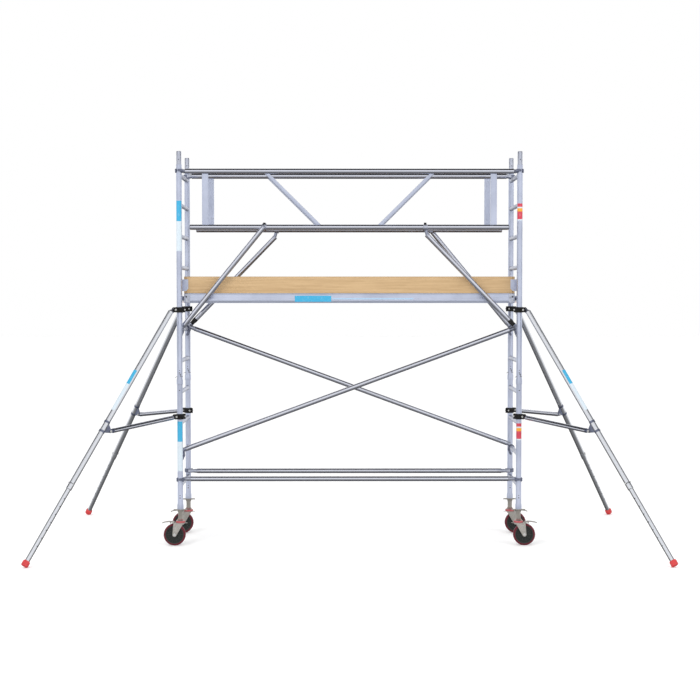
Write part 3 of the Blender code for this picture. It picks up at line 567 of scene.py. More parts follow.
def rounded_bar(shape, start, end, width, depth, corner=0.004):
    """A flat bar with rounded corners between two points in a plane of constant Y."""
    start, end = Vector(start), Vector(end)
    x, y = width / 2 - corner, depth / 2 - corner
    outline = []
    for cx, cy, first in ((x, y, 0), (-x, y, 90), (-x, -y, 180), (x, -y, 270)):
        outline += arc((cx, cy), corner, first, first + 90, 4)
    direction = (end - start).normalized()
    across = Vector((direction.z, 0, -direction.x))
    depthwise = direction.cross(across)
    rings = []
    for point in (start, end):
        rings.append([point + across * u + depthwise * v for u, v in outline])
    shape.loft(rings, around=2 * (width + depth))


def claw_outline(bore, wall, mouth, opening=100, steps=20):
    """The C of a snap-on claw round the origin with rounded lips, open towards mouth in degrees."""
    first, last = mouth + opening / 2, mouth + 360 - opening / 2
    middle = bore + wall / 2
    outline = arc((0, 0), bore + wall, first, last, steps)
    tip = (middle * math.cos(math.radians(last)), middle * math.sin(math.radians(last)))
    outline += arc(tip, wall / 2, last, last + 180, 4)[1:-1]
    outline += arc((0, 0), bore, last, first, steps)
    tip = (middle * math.cos(math.radians(first)), middle * math.sin(math.radians(first)))
    outline += arc(tip, wall / 2, first + 180, first + 360, 4)[1:-1]
    return outline


def band(shape, low, high, radius, first, last, place=Matrix(), thickness=0.0004, steps=16):
    """A film wrapped round an upright tube between two heights and two angles."""
    outer = arc((0, 0), radius + thickness, first, last, steps)
    inner = arc((0, 0), radius + 0.00005, last, first, steps)
    shape.prism(outer + inner, high - low, place @ at(0, 0, (low + high) / 2))


# ---------------------------------------------------------------- end frames


def weld_bead(shape, side, z):
    """The bead round a rung where it meets its upright."""
    points, radii = [], []
    count = 40
    for i in range(count):
        angle = 2 * math.pi * i / count
        x = RUNG_R * math.cos(angle)
        y = SIDE_Y - math.sqrt(TUBE_R**2 - x**2) - 0.0006
        points.append((x, side * y, z + RUNG_R * math.sin(angle)))
        radii.append(0.0024 + 0.0004 * math.sin(angle * 10))
    shape.sweep(points, radii, 7, closed=True)


def ladder(bottom, top, rungs):
    shape = Shape(UPRIGHT, RUNG, WELD_METAL, HOLE_SHADE)
    edge = 0.0008
    tip = top + SPIGOT_LENGTH
    for side in (-1, 1):
        place = at(0, side * SIDE_Y, 0)
        tube = [
            (TUBE_R - edge, top), (TUBE_R, top - edge), (TUBE_R, bottom + 0.052),
            (COLLAR_R - 0.0008, bottom + 0.044),
            (COLLAR_R, bottom + 0.040), (COLLAR_R, bottom + edge), (COLLAR_R - edge, bottom),
            (COLLAR_R - 0.0022, bottom), (COLLAR_R - 0.0022, bottom + 0.040), (TUBE_BORE, bottom + 0.052),
            (TUBE_BORE, top),
        ]
        shape.use(UPRIGHT).lathe(tube, place, 40, closed=True)
        spigot = [
            (SPIGOT_R - 0.003, tip), (SPIGOT_R, tip - 0.006), (SPIGOT_R, top - 0.04),
            (SPIGOT_BORE, top - 0.04), (SPIGOT_BORE, tip - 0.002),
        ]
        shape.use(RUNG).lathe(spigot, place, 40, closed=True)
        # The holes in each upright, drawn as dots of painted shade.
        for z, radius in ((bottom + 0.105, 0.0050), (bottom + 0.128, 0.0036), (top - 0.055, 0.0050)):
            shape.use(HOLE_SHADE).dot(place @ at(0, -TUBE_R, z) @ XZ, radius)
        shape.dot(place @ at(0, -SPIGOT_R, top + 0.045) @ XZ, 0.0045)
    for number in rungs:
        z = rung_z(number)
        end = SIDE_Y - 0.020
        shape.use(RUNG).tube((0, -end, z), (0, end, z), RUNG_R + 0.0008, RUNG_BORE, 60, 0.0005, 0.0006)
        for side in (-1, 1):
            weld_bead(shape.use(WELD_METAL), side, z)
    return shape


def joint_clip(shape, side):
    """The wire clip and pin that lock an upper frame to the one below."""
    z = JOINT_Z + 0.092
    place = at(0, side * SIDE_Y, 0)
    ring = [(x, y + side * SIDE_Y, z - 0.022) for x, y in arc((0, 0), TUBE_R + 0.0018, -70, 215, 26)]
    x, y = -TUBE_R - 0.010, side * SIDE_Y - 0.016
    tail = [(x + 0.004, y + 0.004, z - 0.024), (x - 0.004, y - 0.004, z - 0.030)]
    shape.use(DARK_STEEL).sweep(ring + tail, 0.0017, 8)
    start = place @ Vector((0.006, -TUBE_R + 0.004, z))
    shape.use(DARK_STEEL).tube(start, start + Vector((0, -0.010, 0)), 0.0050, steps=18)
    shape.sweep([start + Vector((0, -0.005, 0)), start + Vector((0.004, -0.006, -0.012)), ring[0]], 0.0016, 8)


def label_strip(shape, colours, top, place, radius=TUBE_R):
    """Plain bands of colour down the front of a tube."""
    for material, height in colours:
        shape.use(material)
        band(shape, top - height, top, radius, -155, -25, place)
        top -= height


def end_frames():
    lower = ladder(LOWER_FRAME_Z, JOINT_Z - 0.0003, LOWER_RUNGS).mesh("ladder_lower")
    upper = ladder(JOINT_Z, UPPER_TOP, UPPER_RUNGS).mesh("ladder_upper")
    for end, x in ENDS.items():
        place = at(x * END_X, 0, 0)
        piece(f"ladder_lower_{end}", lower, "tower", [f"lower_frame_{end}"], place)
        piece(f"ladder_upper_{end}", upper, "tower", [f"upper_frame_{end}"], place)
    clips = Shape()
    for side in (-1, 1):
        joint_clip(clips, side)
    clips = clips.mesh("joint_clips")
    for end, x in ENDS.items():
        piece(f"joint_clips_{end}", clips, "tower", place=at(x * END_X, 0, 0))
    front = at(0, -SIDE_Y, 0)
    name_bands = [(FILM_BLUE, 0.185), (FILM_WHITE, 0.27)]
    notice_bands = [
        (FILM_RED, 0.030), (FILM_WHITE, 0.012), (FILM_AMBER, 0.030), (FILM_RED, 0.070), (FILM_WHITE, 0.012),
    ]
    for name, x, bands, tops in (
        ("name_bands", -1, name_bands, (3.150, 1.140)),
        ("notice_bands", 1, notice_bands, (3.125, 1.122)),
    ):
        shape = Shape()
        for top in tops:
            label_strip(shape, bands, top, front)
        piece(name, shape.mesh(name), "tower", place=at(x * END_X, 0, 0))


# ---------------------------------------------------------------- rails and braces


def rail_end(shape, half, z, side):
    """The claw round an upright with its neck, latch and pivot, at one end of a rail in the plane Y = 0."""
    x = side * END_X
    outline = [(side * px, py) for px, py in claw_outline(UPRIGHT_CLAW, CLAW_WALL, -90)]
    shape.use(DARK_CAST).prism(outline, CLAW_HEIGHT, at(x, -RAIL_INSET, z), 0.0016)
    rings = []
    sections = (
        (0.0, 0.0155, -0.020, 0.012), (0.45, 0.0160, -0.019, 0.016), (0.9, 0.0195, -0.0195, 0.0195),
        (1.0, 0.0222, -0.0222, 0.0222),
    )
    for share, height, low, high in sections:
        px = side * (END_X - 0.006 - share * (END_X - 0.006 - half + 0.006))
        middle, deep = (low + high) / 2, (high - low) / 2
        corner = min(height, deep) * (0.35 + 0.64 * share)
        ring = []
        for cy, cz, first in ((1, 1, 0), (-1, 1, 90), (-1, -1, 180), (1, -1, 270)):
            centre = (middle + cy * (deep - corner), cz * (height - corner))
            ring += [Vector((px, py, z + pz)) for py, pz in arc(centre, corner, first, first + 90, 5)]
        rings.append(ring)
    shape.use(PALE_CAST).loft(rings, around=0.12)
    pivot = (side * (END_X - 0.036), -0.012, z)
    shape.use(BOLT).tube((pivot[0], pivot[1], z - 0.0205), (pivot[0], pivot[1], z + 0.0205), 0.0035, steps=14)
    finger = [(0, 0.006), (0.040, 0.004), (0.047, -0.004), (0.044, -0.010), (0.030, -0.006), (0, -0.006)]
    outline = [(side * (px - 0.003), py) for px, py in finger]
    shape.use(DARK_CAST).prism(outline, 0.020, at(pivot[0], -RAIL_INSET - 0.0335, z + 0.004), 0.0010)


def rail(shape, half, z, radius=RAIL_R):
    shape.use(BRIGHT).tube((-half, 0, z), (half, 0, z), radius, RAIL_BORE, 40)


def guardrail():
    shape = Shape(BRIGHT, UPRIGHT)
    rail(shape, TOP_RAIL_HALF, TOP_RAIL_Z, GUARD_R)
    rail(shape, LOWER_RAIL_HALF, LOWER_RAIL_Z, GUARD_R)
    for side in (-1, 1):
        end = side * LOWER_RAIL_HALF
        plug = (end - side * 0.012, 0, LOWER_RAIL_Z), (end + side * 0.003, 0, LOWER_RAIL_Z)
        shape.use(BLACK_PLASTIC).tube(*plug, 0.0204)
        rail_end(shape, TOP_RAIL_HALF, TOP_RAIL_Z, side)
        for (top_x, low_x), size in (((POST_X, POST_X), POST_SIZE), (INNER_X, INNER_SIZE)):
            high = Vector((side * top_x, 0, TOP_RAIL_Z))
            low = Vector((side * low_x, 0, LOWER_RAIL_Z))
            shape.use(UPRIGHT)
            rounded_bar(shape, high, low, *size)
            for point, away in ((high, low - high), (low, high - low)):
                weld_strip(shape, point, away.normalized(), *size)
    return shape


def weld_strip(shape, point, away, width, depth):
    """Beads along the wide sides of a flat bar where it lands on a rail."""
    shape.use(WELD_METAL)
    across = Vector((away.z, 0, -away.x))
    for side in (-1, 1):
        points, radii = [], []
        for i in range(15):
            u = (i / 14 - 0.5) * width
            y = side * (depth / 2 + 0.0004)
            reach = math.sqrt(max(GUARD_R**2 - y**2, 0)) / max(abs(away.z), 0.2)
            points.append(point + across * u + away * reach + Vector((0, y, 0)))
            radii.append(0.0020 + 0.0004 * math.sin(i * 2.4))
        shape.sweep(points, radii, 7)


def rung_claw(shape, x, y, z, towards, tube_start, lift=0.0, start=RUNG_CLAW + 0.003):
    """A claw over a rung, open downwards, its neck into a tube, and the latch that hangs below the rung."""
    centre = Vector((x, y, z))
    direction = (Vector(towards) - centre).normalized()
    side = 1 if direction.x > 0 else -1
    wall = CLAW_WALL + 0.0022
    shape.use(DARK_CAST).prism(
        claw_outline(RUNG_CLAW, wall, -90), CLAW_HEIGHT + 0.004, at(*centre) @ XZ, 0.0016
    )
    root = centre + Vector((0, 0, lift))
    neck = [
        (0, start), (0.0195, start), (0.0188, start + 0.008),
        (0.0188, max(tube_start - 0.010, start + 0.009)),
        (0.0215, max(tube_start - 0.006, start + 0.012)), (0.0222, tube_start + 0.002),
        (0, tube_start + 0.002),
    ]
    shape.use(PALE_CAST).lathe(neck, along(root, root + direction), 28)
    outer = RUNG_CLAW + wall
    latch = [
        (side * 0.022, -0.012), (side * (outer + 0.002), -0.002), (side * (outer + 0.004), -0.018),
        (side * 0.016, -0.064), (side * 0.004, -0.072), (side * -0.006, -0.066), (side * -0.002, -0.052),
        (side * 0.013, -0.026),
    ]
    shape.use(DARK_CAST).prism(latch, 0.020, at(*centre) @ XZ, 0.0012)
    pin = centre + Vector((side * (outer - 0.003), 0, -0.008))
    shape.use(BOLT).tube(pin + Vector((0, -0.019, 0)), pin + Vector((0, 0.019, 0)), 0.0032, steps=14)


def braced_tube(shape, start, end, radius, bore):
    shape.use(BRIGHT).tube(start, end, radius, bore, 40)


def guardrails_and_horizontals():
    rails = guardrail().mesh("guardrail")
    shape = Shape(BRIGHT)
    rail(shape, HORIZONTAL_HALF, HORIZONTAL_Z)
    for side in (-1, 1):
        rail_end(shape, HORIZONTAL_HALF, HORIZONTAL_Z, side)
    horizontal = shape.mesh("horizontal")
    front = at(0, -SIDE_Y + RAIL_INSET, 0)
    for name, place in (("front", front), ("back", HALF_TURN @ front)):
        piece(f"handrail_{name}", rails, "tower", [f"guardrail_{name}"], place)
        piece(
            f"horizontal_{name}", horizontal, "tower", [f"horizontal_brace_{name}"],
            place
        )


def diagonal_braces():
    low = Vector((-END_X, -DIAGONAL_Y, rung_z(2)))
    high = Vector((END_X, -DIAGONAL_Y, rung_z(6)))
    direction = (high - low).normalized()
    shape = Shape(BRIGHT)
    lift = Vector((0, 0, DIAGONAL_LIFT))
    ends = low + lift + direction * DIAGONAL_START, high + lift - direction * DIAGONAL_END
    braced_tube(shape, *ends, STRUT_R, STRUT_BORE)
    rung_claw(shape, *low, high, DIAGONAL_START, DIAGONAL_LIFT, DIAGONAL_NECKS[0])
    rung_claw(shape, *high, low, DIAGONAL_END, DIAGONAL_LIFT, DIAGONAL_NECKS[1])
    mesh = shape.mesh("diagonal")
    piece("diagonal_front", mesh, "tower", ["diagonal_brace_front"])
    piece("diagonal_back", mesh, "tower", ["diagonal_brace_back"], HALF_TURN)


def guardrail_strut(top, clamp_x, mirror=1):
    """A strut at the front left, or mirrored at the front right."""
    low = Vector((-END_X * mirror, -STRUT_Y, rung_z(6)))
    top = Vector((top[0] * mirror, top[1], top[2]))
    clamp_x *= mirror
    direction = (top - low).normalized()
    shape = Shape(BRIGHT)
    open_end = mirror < 0
    tube_start = STRUT_START + (0.035 if open_end else 0.0)
    braced_tube(shape, low + direction * tube_start, top, STRUT_R, STRUT_BORE)
    rung_claw(shape, *low, top, STRUT_START)
    if open_end:
        ring = [
            (STRUT_R + 0.0008, -0.003), (STRUT_R + 0.0008, 0.030), (STRUT_R - 0.001, 0.030),
            (STRUT_R - 0.001, -0.003)
        ]
        foot = low + direction * tube_start
        shape.use(BLACK_PLASTIC).lathe(ring, along(foot, top), 36, closed=True)
        shape.tube(low + direction * (STRUT_START - 0.010), foot + direction * 0.004, 0.0198, steps=30)
    rail_y = -SIDE_Y + RAIL_INSET
    outward = math.degrees(math.atan2(top.z - LOWER_RAIL_Z, top.y - rail_y))
    centre = Vector((clamp_x, rail_y, LOWER_RAIL_Z))
    outline = claw_outline(GUARD_R + 0.0006, 0.0080, outward + 180, 100)
    shape.use(PALE_CAST).prism(outline, 0.040, at(*centre) @ YZ, 0.0014)
    toward = (top - centre).normalized()
    shape.use(CAST).tube(centre + toward * (RAIL_R + 0.004), top - direction * 0.004, 0.0150, steps=24)
    shape.use(PALE_CAST).lathe(
        [
            (0, -0.016), (STRUT_R + 0.0008, -0.016), (STRUT_R + 0.0008, 0.0035), (STRUT_R - 0.003, 0.006),
            (0, 0.006)
        ],
        along(top, top + direction), 32,
    )
    shape.use(BLACK_PLASTIC).lathe(
        [(0, 0.020), (0.0125, 0.020), (0.0125, 0.038), (0.0095, 0.042), (0, 0.042)],
        along(centre, centre + Vector((0, 0, 1))), 20,
    )
    return shape


def guardrail_struts():
    outside = guardrail_strut((-0.782, -0.3480, 2.910), -0.778).mesh("strut_outside")
    below = guardrail_strut((-0.708, -0.3000, 2.843), -0.692, -1).mesh("strut_below")
    for name, mesh, place in (
        ("front_left", outside, Matrix()), ("back_right", outside, HALF_TURN),
        ("front_right", below, Matrix()), ("back_left", below, HALF_TURN),
    ):
        piece(f"strut_{name}", mesh, "tower", [f"guardrail_strut_{name}"], place)


# ---------------------------------------------------------------- platform


def side_beam(shape):
    """The side extrusion along X: a ribbed web that faces -Y, with its top at Z = 0."""
    h, skin, lip = BEAM_HEIGHT, 0.003, 0.030
    outline = [
        (0.0, 0.0), (lip, 0.0), (lip, -skin), (skin, -skin), (skin, -h + skin), (lip, -h + skin), (lip, -h),
        (0.0, -h),
        (0.0, -h + 0.007), (-0.0012, -h + 0.009), (-0.0012, -h + 0.043), (0.0, -h + 0.045),
        (0.0, -0.010), (-0.0020, -0.0085), (-0.0020, -0.0012),
    ]
    half = PLATFORM_HALF - 0.030
    return shape.prism(outline, 2 * half, YZ)


def platform_hook(shape, side, y):
    """A casting over the rung with its bolted shank on the end of the platform."""
    x, z = side * END_X, rung_z(HOOK_RUNG)
    shape.use(PALE_CAST).prism(claw_outline(RUNG_CLAW, CLAW_WALL, -90), 0.040, at(x, y, z) @ XZ, 0.0016)
    inner = sorted((side * (PLATFORM_HALF - 0.012), side * (END_X - RUNG_CLAW - 0.002)))
    shape.block((inner[0], y - 0.018, z + 0.002), (inner[1], y + 0.018, z + 0.027), edge=0.002)


def end_cap(shape, side, face):
    """The cast end of a side beam, with a rib and a dark socket screw."""
    x = sorted((side * (PLATFORM_HALF - 0.058), side * (PLATFORM_HALF - 0.001)))
    y = sorted((face * (BEAM_Y + 0.0022), face * (BEAM_Y - 0.030)))
    shape.use(PALE_CAST).block(
        (x[0], y[0], DECK_TOP - BEAM_HEIGHT), (x[1], y[1], DECK_TOP - 0.0002), edge=0.003
    )
    outwards = turn(-90 * face, "X")
    x, y = side * (PLATFORM_HALF - 0.022), face * (BEAM_Y + 0.002)
    head = [(0, 0), (0.0075, 0), (0.0075, 0.004), (0.006, 0.005), (0, 0.005)]
    shape.use(DARK_STEEL).lathe(head, at(x, y, DECK_TOP - 0.032) @ outwards, 24)
    shape.use(BOLT).bolt(at(x, y, DECK_TOP - 0.066) @ outwards, 0.005, 0.003)


def platform():
    shape = Shape(UPRIGHT)
    front = at(0, -BEAM_Y, DECK_TOP)
    for place in (front, HALF_TURN @ front):
        beam = Shape(UPRIGHT)
        side_beam(beam)
        bmesh.ops.transform(beam.bm, matrix=place, verts=beam.bm.verts)
        join(shape, beam)
    for side in (-1, 1):
        low, high = DECK_TOP - 0.075, DECK_TOP
        x0, x1 = sorted((side * PLATFORM_HALF, side * (PLATFORM_HALF - 0.003)))
        shape.use(UPRIGHT).block((x0, -BEAM_Y + 0.031, low), (x1, BEAM_Y - 0.031, high), edge=0.0006)
        x0, x1 = sorted((side * PLATFORM_HALF, side * (PLATFORM_HALF - 0.040)))
        for z0, z1 in ((low, low + 0.003), (high - 0.003, high)):
            shape.block((x0, -BEAM_Y + 0.031, z0), (x1, BEAM_Y - 0.031, z1), edge=0.0006)
        for face in (-1, 1):
            end_cap(shape, side, face)
        for y in (-HOOK_Y, HOOK_Y):
            platform_hook(shape, side, y)
            for z in (DECK_TOP - 0.022, DECK_TOP - 0.052):
                shape.use(BOLT).bolt(
                    at(side * (PLATFORM_HALF - 0.0035), y, z) @ turn(-90 * side, "Y"), 0.006, 0.004, 0.009
                )
        stud = JOINTS["wind_lock_turn_right"]["pos_m"][0] * side
        shape.use(BOLT).lathe(
            [
                (0, 0.003), (0.005, 0.003), (0.005, -0.009), (0.0105, -0.009), (0.0095, -0.0125),
                (0, -0.0125)
            ], at(stud, 0, low), 20
        )
    underside = DECK_LOW.z - 0.0003
    for x in (-1.1, -0.66, -0.22, 0.22, HATCH_X[0] - 0.02, HATCH_X[1] + 0.02):
        web, lip, half = 0.034, 0.030, BEAM_Y - 0.003
        shape.use(UPRIGHT).block(
            (x - 0.015, -half, underside - web), (x - 0.012, half, underside), edge=0.0005
        )
        for z0, z1 in ((underside - 0.003, underside), (underside - web, underside - web + 0.003)):
            shape.block((x - 0.015, -half, z0), (x - 0.015 + lip, half, z1), edge=0.0005)
    piece("platform_chassis", shape.mesh("platform_chassis"), "tower", ["platform_frame"])
    deck_boards()
    wind_locks()
    name = Shape()
    y = -BEAM_Y - 0.0023
    for material, x0, x1, z0, z1 in (
        (FILM_BLUE, -0.502, -0.167, DECK_TOP - 0.078, DECK_TOP - 0.023),
        (FILM_PALE, -0.160, 0.586, DECK_TOP - 0.056, DECK_TOP - 0.044),
    ):
        name.use(material).block((x0, y - 0.0002, z0), (x1, y + 0.0006, z1), edge=0.0001)
    piece("beam_band", name.mesh("beam_band"), "tower")


def join(shape, other):
    """Adds another shape's shells. Both have the same materials so far."""
    mesh = bpy.data.meshes.new("joined")
    other.bm.to_mesh(mesh)
    other.bm.free()
    shape.bm.from_mesh(mesh)
    bpy.data.meshes.remove(mesh)


def deck_boards():
    """The fixed deck round its hatchway with an aluminium trim, and the hatch with hinges and a grip."""
    low, high = DECK_LOW, DECK_HIGH
    rim = 0.016
    hole_y = high.y - rim
    shape = Shape(DECK)
    for x0, x1 in ((low.x, HATCH_X[0]), (HATCH_X[1], high.x)):
        shape.block((x0, low.y, low.z), (x1, high.y, high.z), edge=0.0006)
    for y0, y1 in ((low.y, -hole_y), (hole_y, high.y)):
        shape.use(DECK).block((HATCH_X[0], y0, low.z), (HATCH_X[1], y1, high.z), edge=0.0006)
        shape.use(RUNG).block(
            (HATCH_X[0] - 0.012, y0 + 0.001, high.z - 0.0002),
            (HATCH_X[1] + 0.012, y1 - 0.001, high.z + 0.0008), edge=0.0003
        )
    for x in HATCH_X:
        inner = sorted((x, x + (0.014 if x > 1 else -0.014)))
        shape.use(RUNG).block(
            (inner[0], -hole_y, high.z - 0.0002), (inner[1], hole_y, high.z + 0.0008), edge=0.0003
        )
    for x in (-1.44, -1.1, -0.66, -0.22, 0.22, 0.58, 1.34, 1.44):
        for y in (-0.19, 0.0, 0.19):
            shape.use(BOLT).lathe(
                [(0, -0.001), (0.0055, -0.001), (0.0055, 0.0004), (0.0035, 0.0013), (0, 0.0013)],
                at(x, y, high.z), 16
            )
    piece("deck_boards", shape.mesh("deck_boards"), "tower", ["platform_deck"])

    low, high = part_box("platform_hatch")
    middle = (low.x + high.x) / 2
    grip = (low.y + 0.032, low.y + 0.062)
    hatch = Shape(DECK)
    hatch.block((low.x, grip[1], low.z), (high.x, high.y, high.z), edge=0.0006)
    hatch.block((low.x, low.y, low.z), (high.x, grip[0], high.z), edge=0.0006)
    for x0, x1 in ((low.x, middle - 0.05), (middle + 0.05, high.x)):
        hatch.block((x0, grip[0], low.z), (x1, grip[1], high.z), edge=0.0004)
    hatch.use(BLACK_PLASTIC).block(
        (middle - 0.05, grip[0], low.z), (middle + 0.05, grip[1], low.z + 0.003), edge=0.0005
    )
    hatch.tube(
        (middle - 0.05, (grip[0] + grip[1]) / 2, high.z - 0.004),
        (middle + 0.05, (grip[0] + grip[1]) / 2, high.z - 0.004), 0.0035, steps=14
    )
    for x in (low.x + 0.10, high.x - 0.10):
        hatch.use(ZINC).block(
            (x - 0.035, high.y - 0.045, high.z - 0.0002), (x + 0.035, high.y - 0.001, high.z + 0.0018),
            edge=0.0005
        )
        hatch.tube(
            (x - 0.035, high.y + 0.0006, high.z + 0.0012), (x + 0.035, high.y + 0.0006, high.z + 0.0012),
            0.0022, steps=14
        )
        for dx in (-0.022, 0.022):
            hatch.use(BOLT).lathe(
                [(0, 0), (0.004, 0), (0.0028, 0.0012), (0, 0.0012)],
                at(x + dx, high.y - 0.028, high.z + 0.0016), 14
            )
    piece("hatch_board", hatch.mesh("hatch_board"), "hatch", ["platform_hatch"])


def wind_locks():
    """The turning fingers below the rungs, with a hub, a bent tip and a stop."""
    for end, side in ENDS.items():
        pivot = Vector(JOINTS[f"wind_lock_turn_{end}"]["pos_m"])
        reach = END_X - abs(pivot.x) + 0.004
        outline = arc((0, 0), 0.013, 90, 270, 10) + arc((reach, 0), 0.013, -90, 90, 10)
        shape = Shape(ZINC)
        shape.prism(outline, 0.0058, edge=0.0010)
        shape.lathe(
            [(0.0057, 0.0029), (0.0105, 0.0029), (0.0105, 0.0042), (0.0057, 0.0042)], steps=24, closed=True
        )
        shape.use(RED_PLASTIC).lathe(
            [(0, -0.0028), (0.0105, -0.0028), (0.0095, -0.0060), (0, -0.0060)], at(reach, 0, 0), 24
        )
        place = at(*pivot) @ (HALF_TURN if side < 0 else Matrix())
        piece(
            f"wind_finger_{end}", shape.mesh(f"wind_finger_{end}"), f"wind_lock_{end}",
            [f"wind_lock_{end}"], place
        )


def board(shape, low, high):
    """Plywood with veneered faces and showing plies along its edges, along X or Y."""
    (x0, y0, z0), (x1, y1, z1) = low, high
    skin = 0.0009
    along_x = x1 - x0 > y1 - y0
    shape.use(EDGE).block(low, high, edge=0.0015)
    if along_x:
        for y in (y0, y1):
            inner = sorted((y, y + (skin if y == y0 else -skin)))
            out = -0.0002 if y == y0 else 0.0002
            shape.use(FACE).block(
                (x0 + 0.002, inner[0] + min(out, 0), z0 + 0.002),
                (x1 - 0.002, inner[1] + max(out, 0), z1 - 0.002), edge=0.0004
            )
    return shape


def toe_boards():
    """Four plywood boards with aluminium angles at the ends of the long ones."""
    for name in ("front", "back", "left", "right"):
        low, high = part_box(f"toe_board_{name}")
        shape = Shape(EDGE, FACE)
        middle = (low + high) / 2
        size = high - low
        length = max(size.x, size.y)
        half = Vector((length / 2, min(size.x, size.y) / 2, size.z / 2))
        board(shape, -half, half)
        place = Matrix.Translation(middle)
        if size.y > size.x:
            place = place @ turn(90)
        if name == "back":
            place = place @ turn(180)
        if size.x > size.y:
            for side in (-1, 1):
                corner_angle(shape, side * half.x, -half.y, half.z, side)
        piece(
            f"kickboard_{name}", shape.mesh(f"kickboard_{name}"), "tower",
            [f"toe_board_{name}"], place
        )


def corner_angle(shape, x, y, half_height, side):
    """The riveted aluminium angle round a long board's end, with one corner cut away."""
    over, reach, drop = 0.0395, 0.0195, 0.107
    top = half_height - 0.026
    outline = [
        (over, top), (-reach, top), (-reach, top - drop + 0.022), (-reach + 0.020, top - drop),
        (over, top - drop)
    ]
    outline = [(x + side * px, pz) for px, pz in outline]
    shape.use(UPRIGHT).prism(outline, 0.0022, at(0, y - 0.0012, 0) @ XZ, 0.0004)
    for dx, dz in ((0.010, 0.022), (0.010, 0.078), (-0.030, 0.022)):
        place = at(x - side * dx, y - 0.0022, top - dz) @ XZ
        shape.use(BOLT).lathe([(0, 0), (0.0042, 0), (0.0030, 0.0016), (0, 0.0018)], place, 16)


# ---------------------------------------------------------------- castors


def castor_stem():
    """The threaded leg, its ball-race cup with a coloured seal, and the kingpin below."""
    cup = FORK_TOP + 0.0003
    shape = Shape(ZINC)
    rings = []
    per_lead, steps = 6, 28
    low, high = cup + 0.038, STEM_TOP - 0.01
    count = int((high - low) / THREAD_LEAD * per_lead)
    for k in range(count + 1):
        z = low + (high - low) * k / count
        ring = []
        for i in range(steps):
            share = (z / THREAD_LEAD - i / steps) % 1.0
            flank = min(1.0, max(0.0, (abs(share - 0.5) - 0.12) / 0.14))
            radius = STEM_R - 0.0018 * (1 - flank)
            angle = 2 * math.pi * i / steps
            ring.append(Vector((radius * math.cos(angle), radius * math.sin(angle), z)))
        rings.append(ring)
    shape.loft(rings, around=0.12)
    shape.tube((0, 0, high), (0, 0, STEM_TOP), STEM_R - 0.001, steps=32)
    profile = [
        (0, cup + 0.040), (STEM_R - 0.001, cup + 0.040), (0.0235, cup + 0.036), (0.027, cup + 0.030),
        (0.036, cup + 0.020), (0.0395, cup + 0.017), (CUP_R, cup + 0.012), (CUP_R, cup + 0.001),
        (0.039, cup), (0.0085, cup),
        (0.0085, FORK_TOP - 0.0063), (0.0135, FORK_TOP - 0.0063), (0.0135, FORK_TOP - 0.0115),
        (0.0125, FORK_TOP - 0.0125),
        (0, FORK_TOP - 0.0125),
    ]
    shape.lathe(profile, steps=48)
    seal = [
        (0.0392, cup + 0.0185), (0.0418, cup + 0.0170), (0.0430, cup + 0.0120), (0.0430, cup + 0.0030),
        (0.0415, cup + 0.0005), (0.0392, cup + 0.0005),
    ]
    shape.use(SEAL).lathe(seal, steps=48, closed=True)
    seal = [(0.0262, cup + 0.0315), (0.0285, cup + 0.030), (0.0285, cup + 0.0265), (0.0262, cup + 0.0265)]
    return shape.lathe(seal, steps=40, closed=True)


def castor_nut():
    """The cast wing nut: a flange, a cone, and two drooping handles with round tips."""
    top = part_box("castor_nut_front_left")[1].z
    shape = Shape(ZINC)
    profile = [
        (0.0220, top), (0.0315, top), (0.033, top - 0.0015), (0.033, top - 0.0068), (0.0315, top - 0.0085),
        (0.0262, top - 0.0130), (0.0246, top - 0.0250), (0.0236, top - 0.0260), (0.0220, top - 0.0260),
    ]
    shape.lathe(profile, steps=48, closed=True)
    for side in (-1, 1):
        points = [
            (side * x, 0, top + z) for x,
            z in ((0.029, -0.0062), (0.040, -0.0060), (0.050, -0.0052), (0.058, -0.0050))
        ]
        shape.sweep(points, [0.0072, 0.0060, 0.0054, 0.0056], 16)
        shape.lathe(
            [(0, -0.0064), (0.0042, -0.0050), (0.0062, 0), (0.0042, 0.0050), (0, 0.0064)],
            at(side * 0.0578, 0, top - 0.0062), 20
        )
    return shape


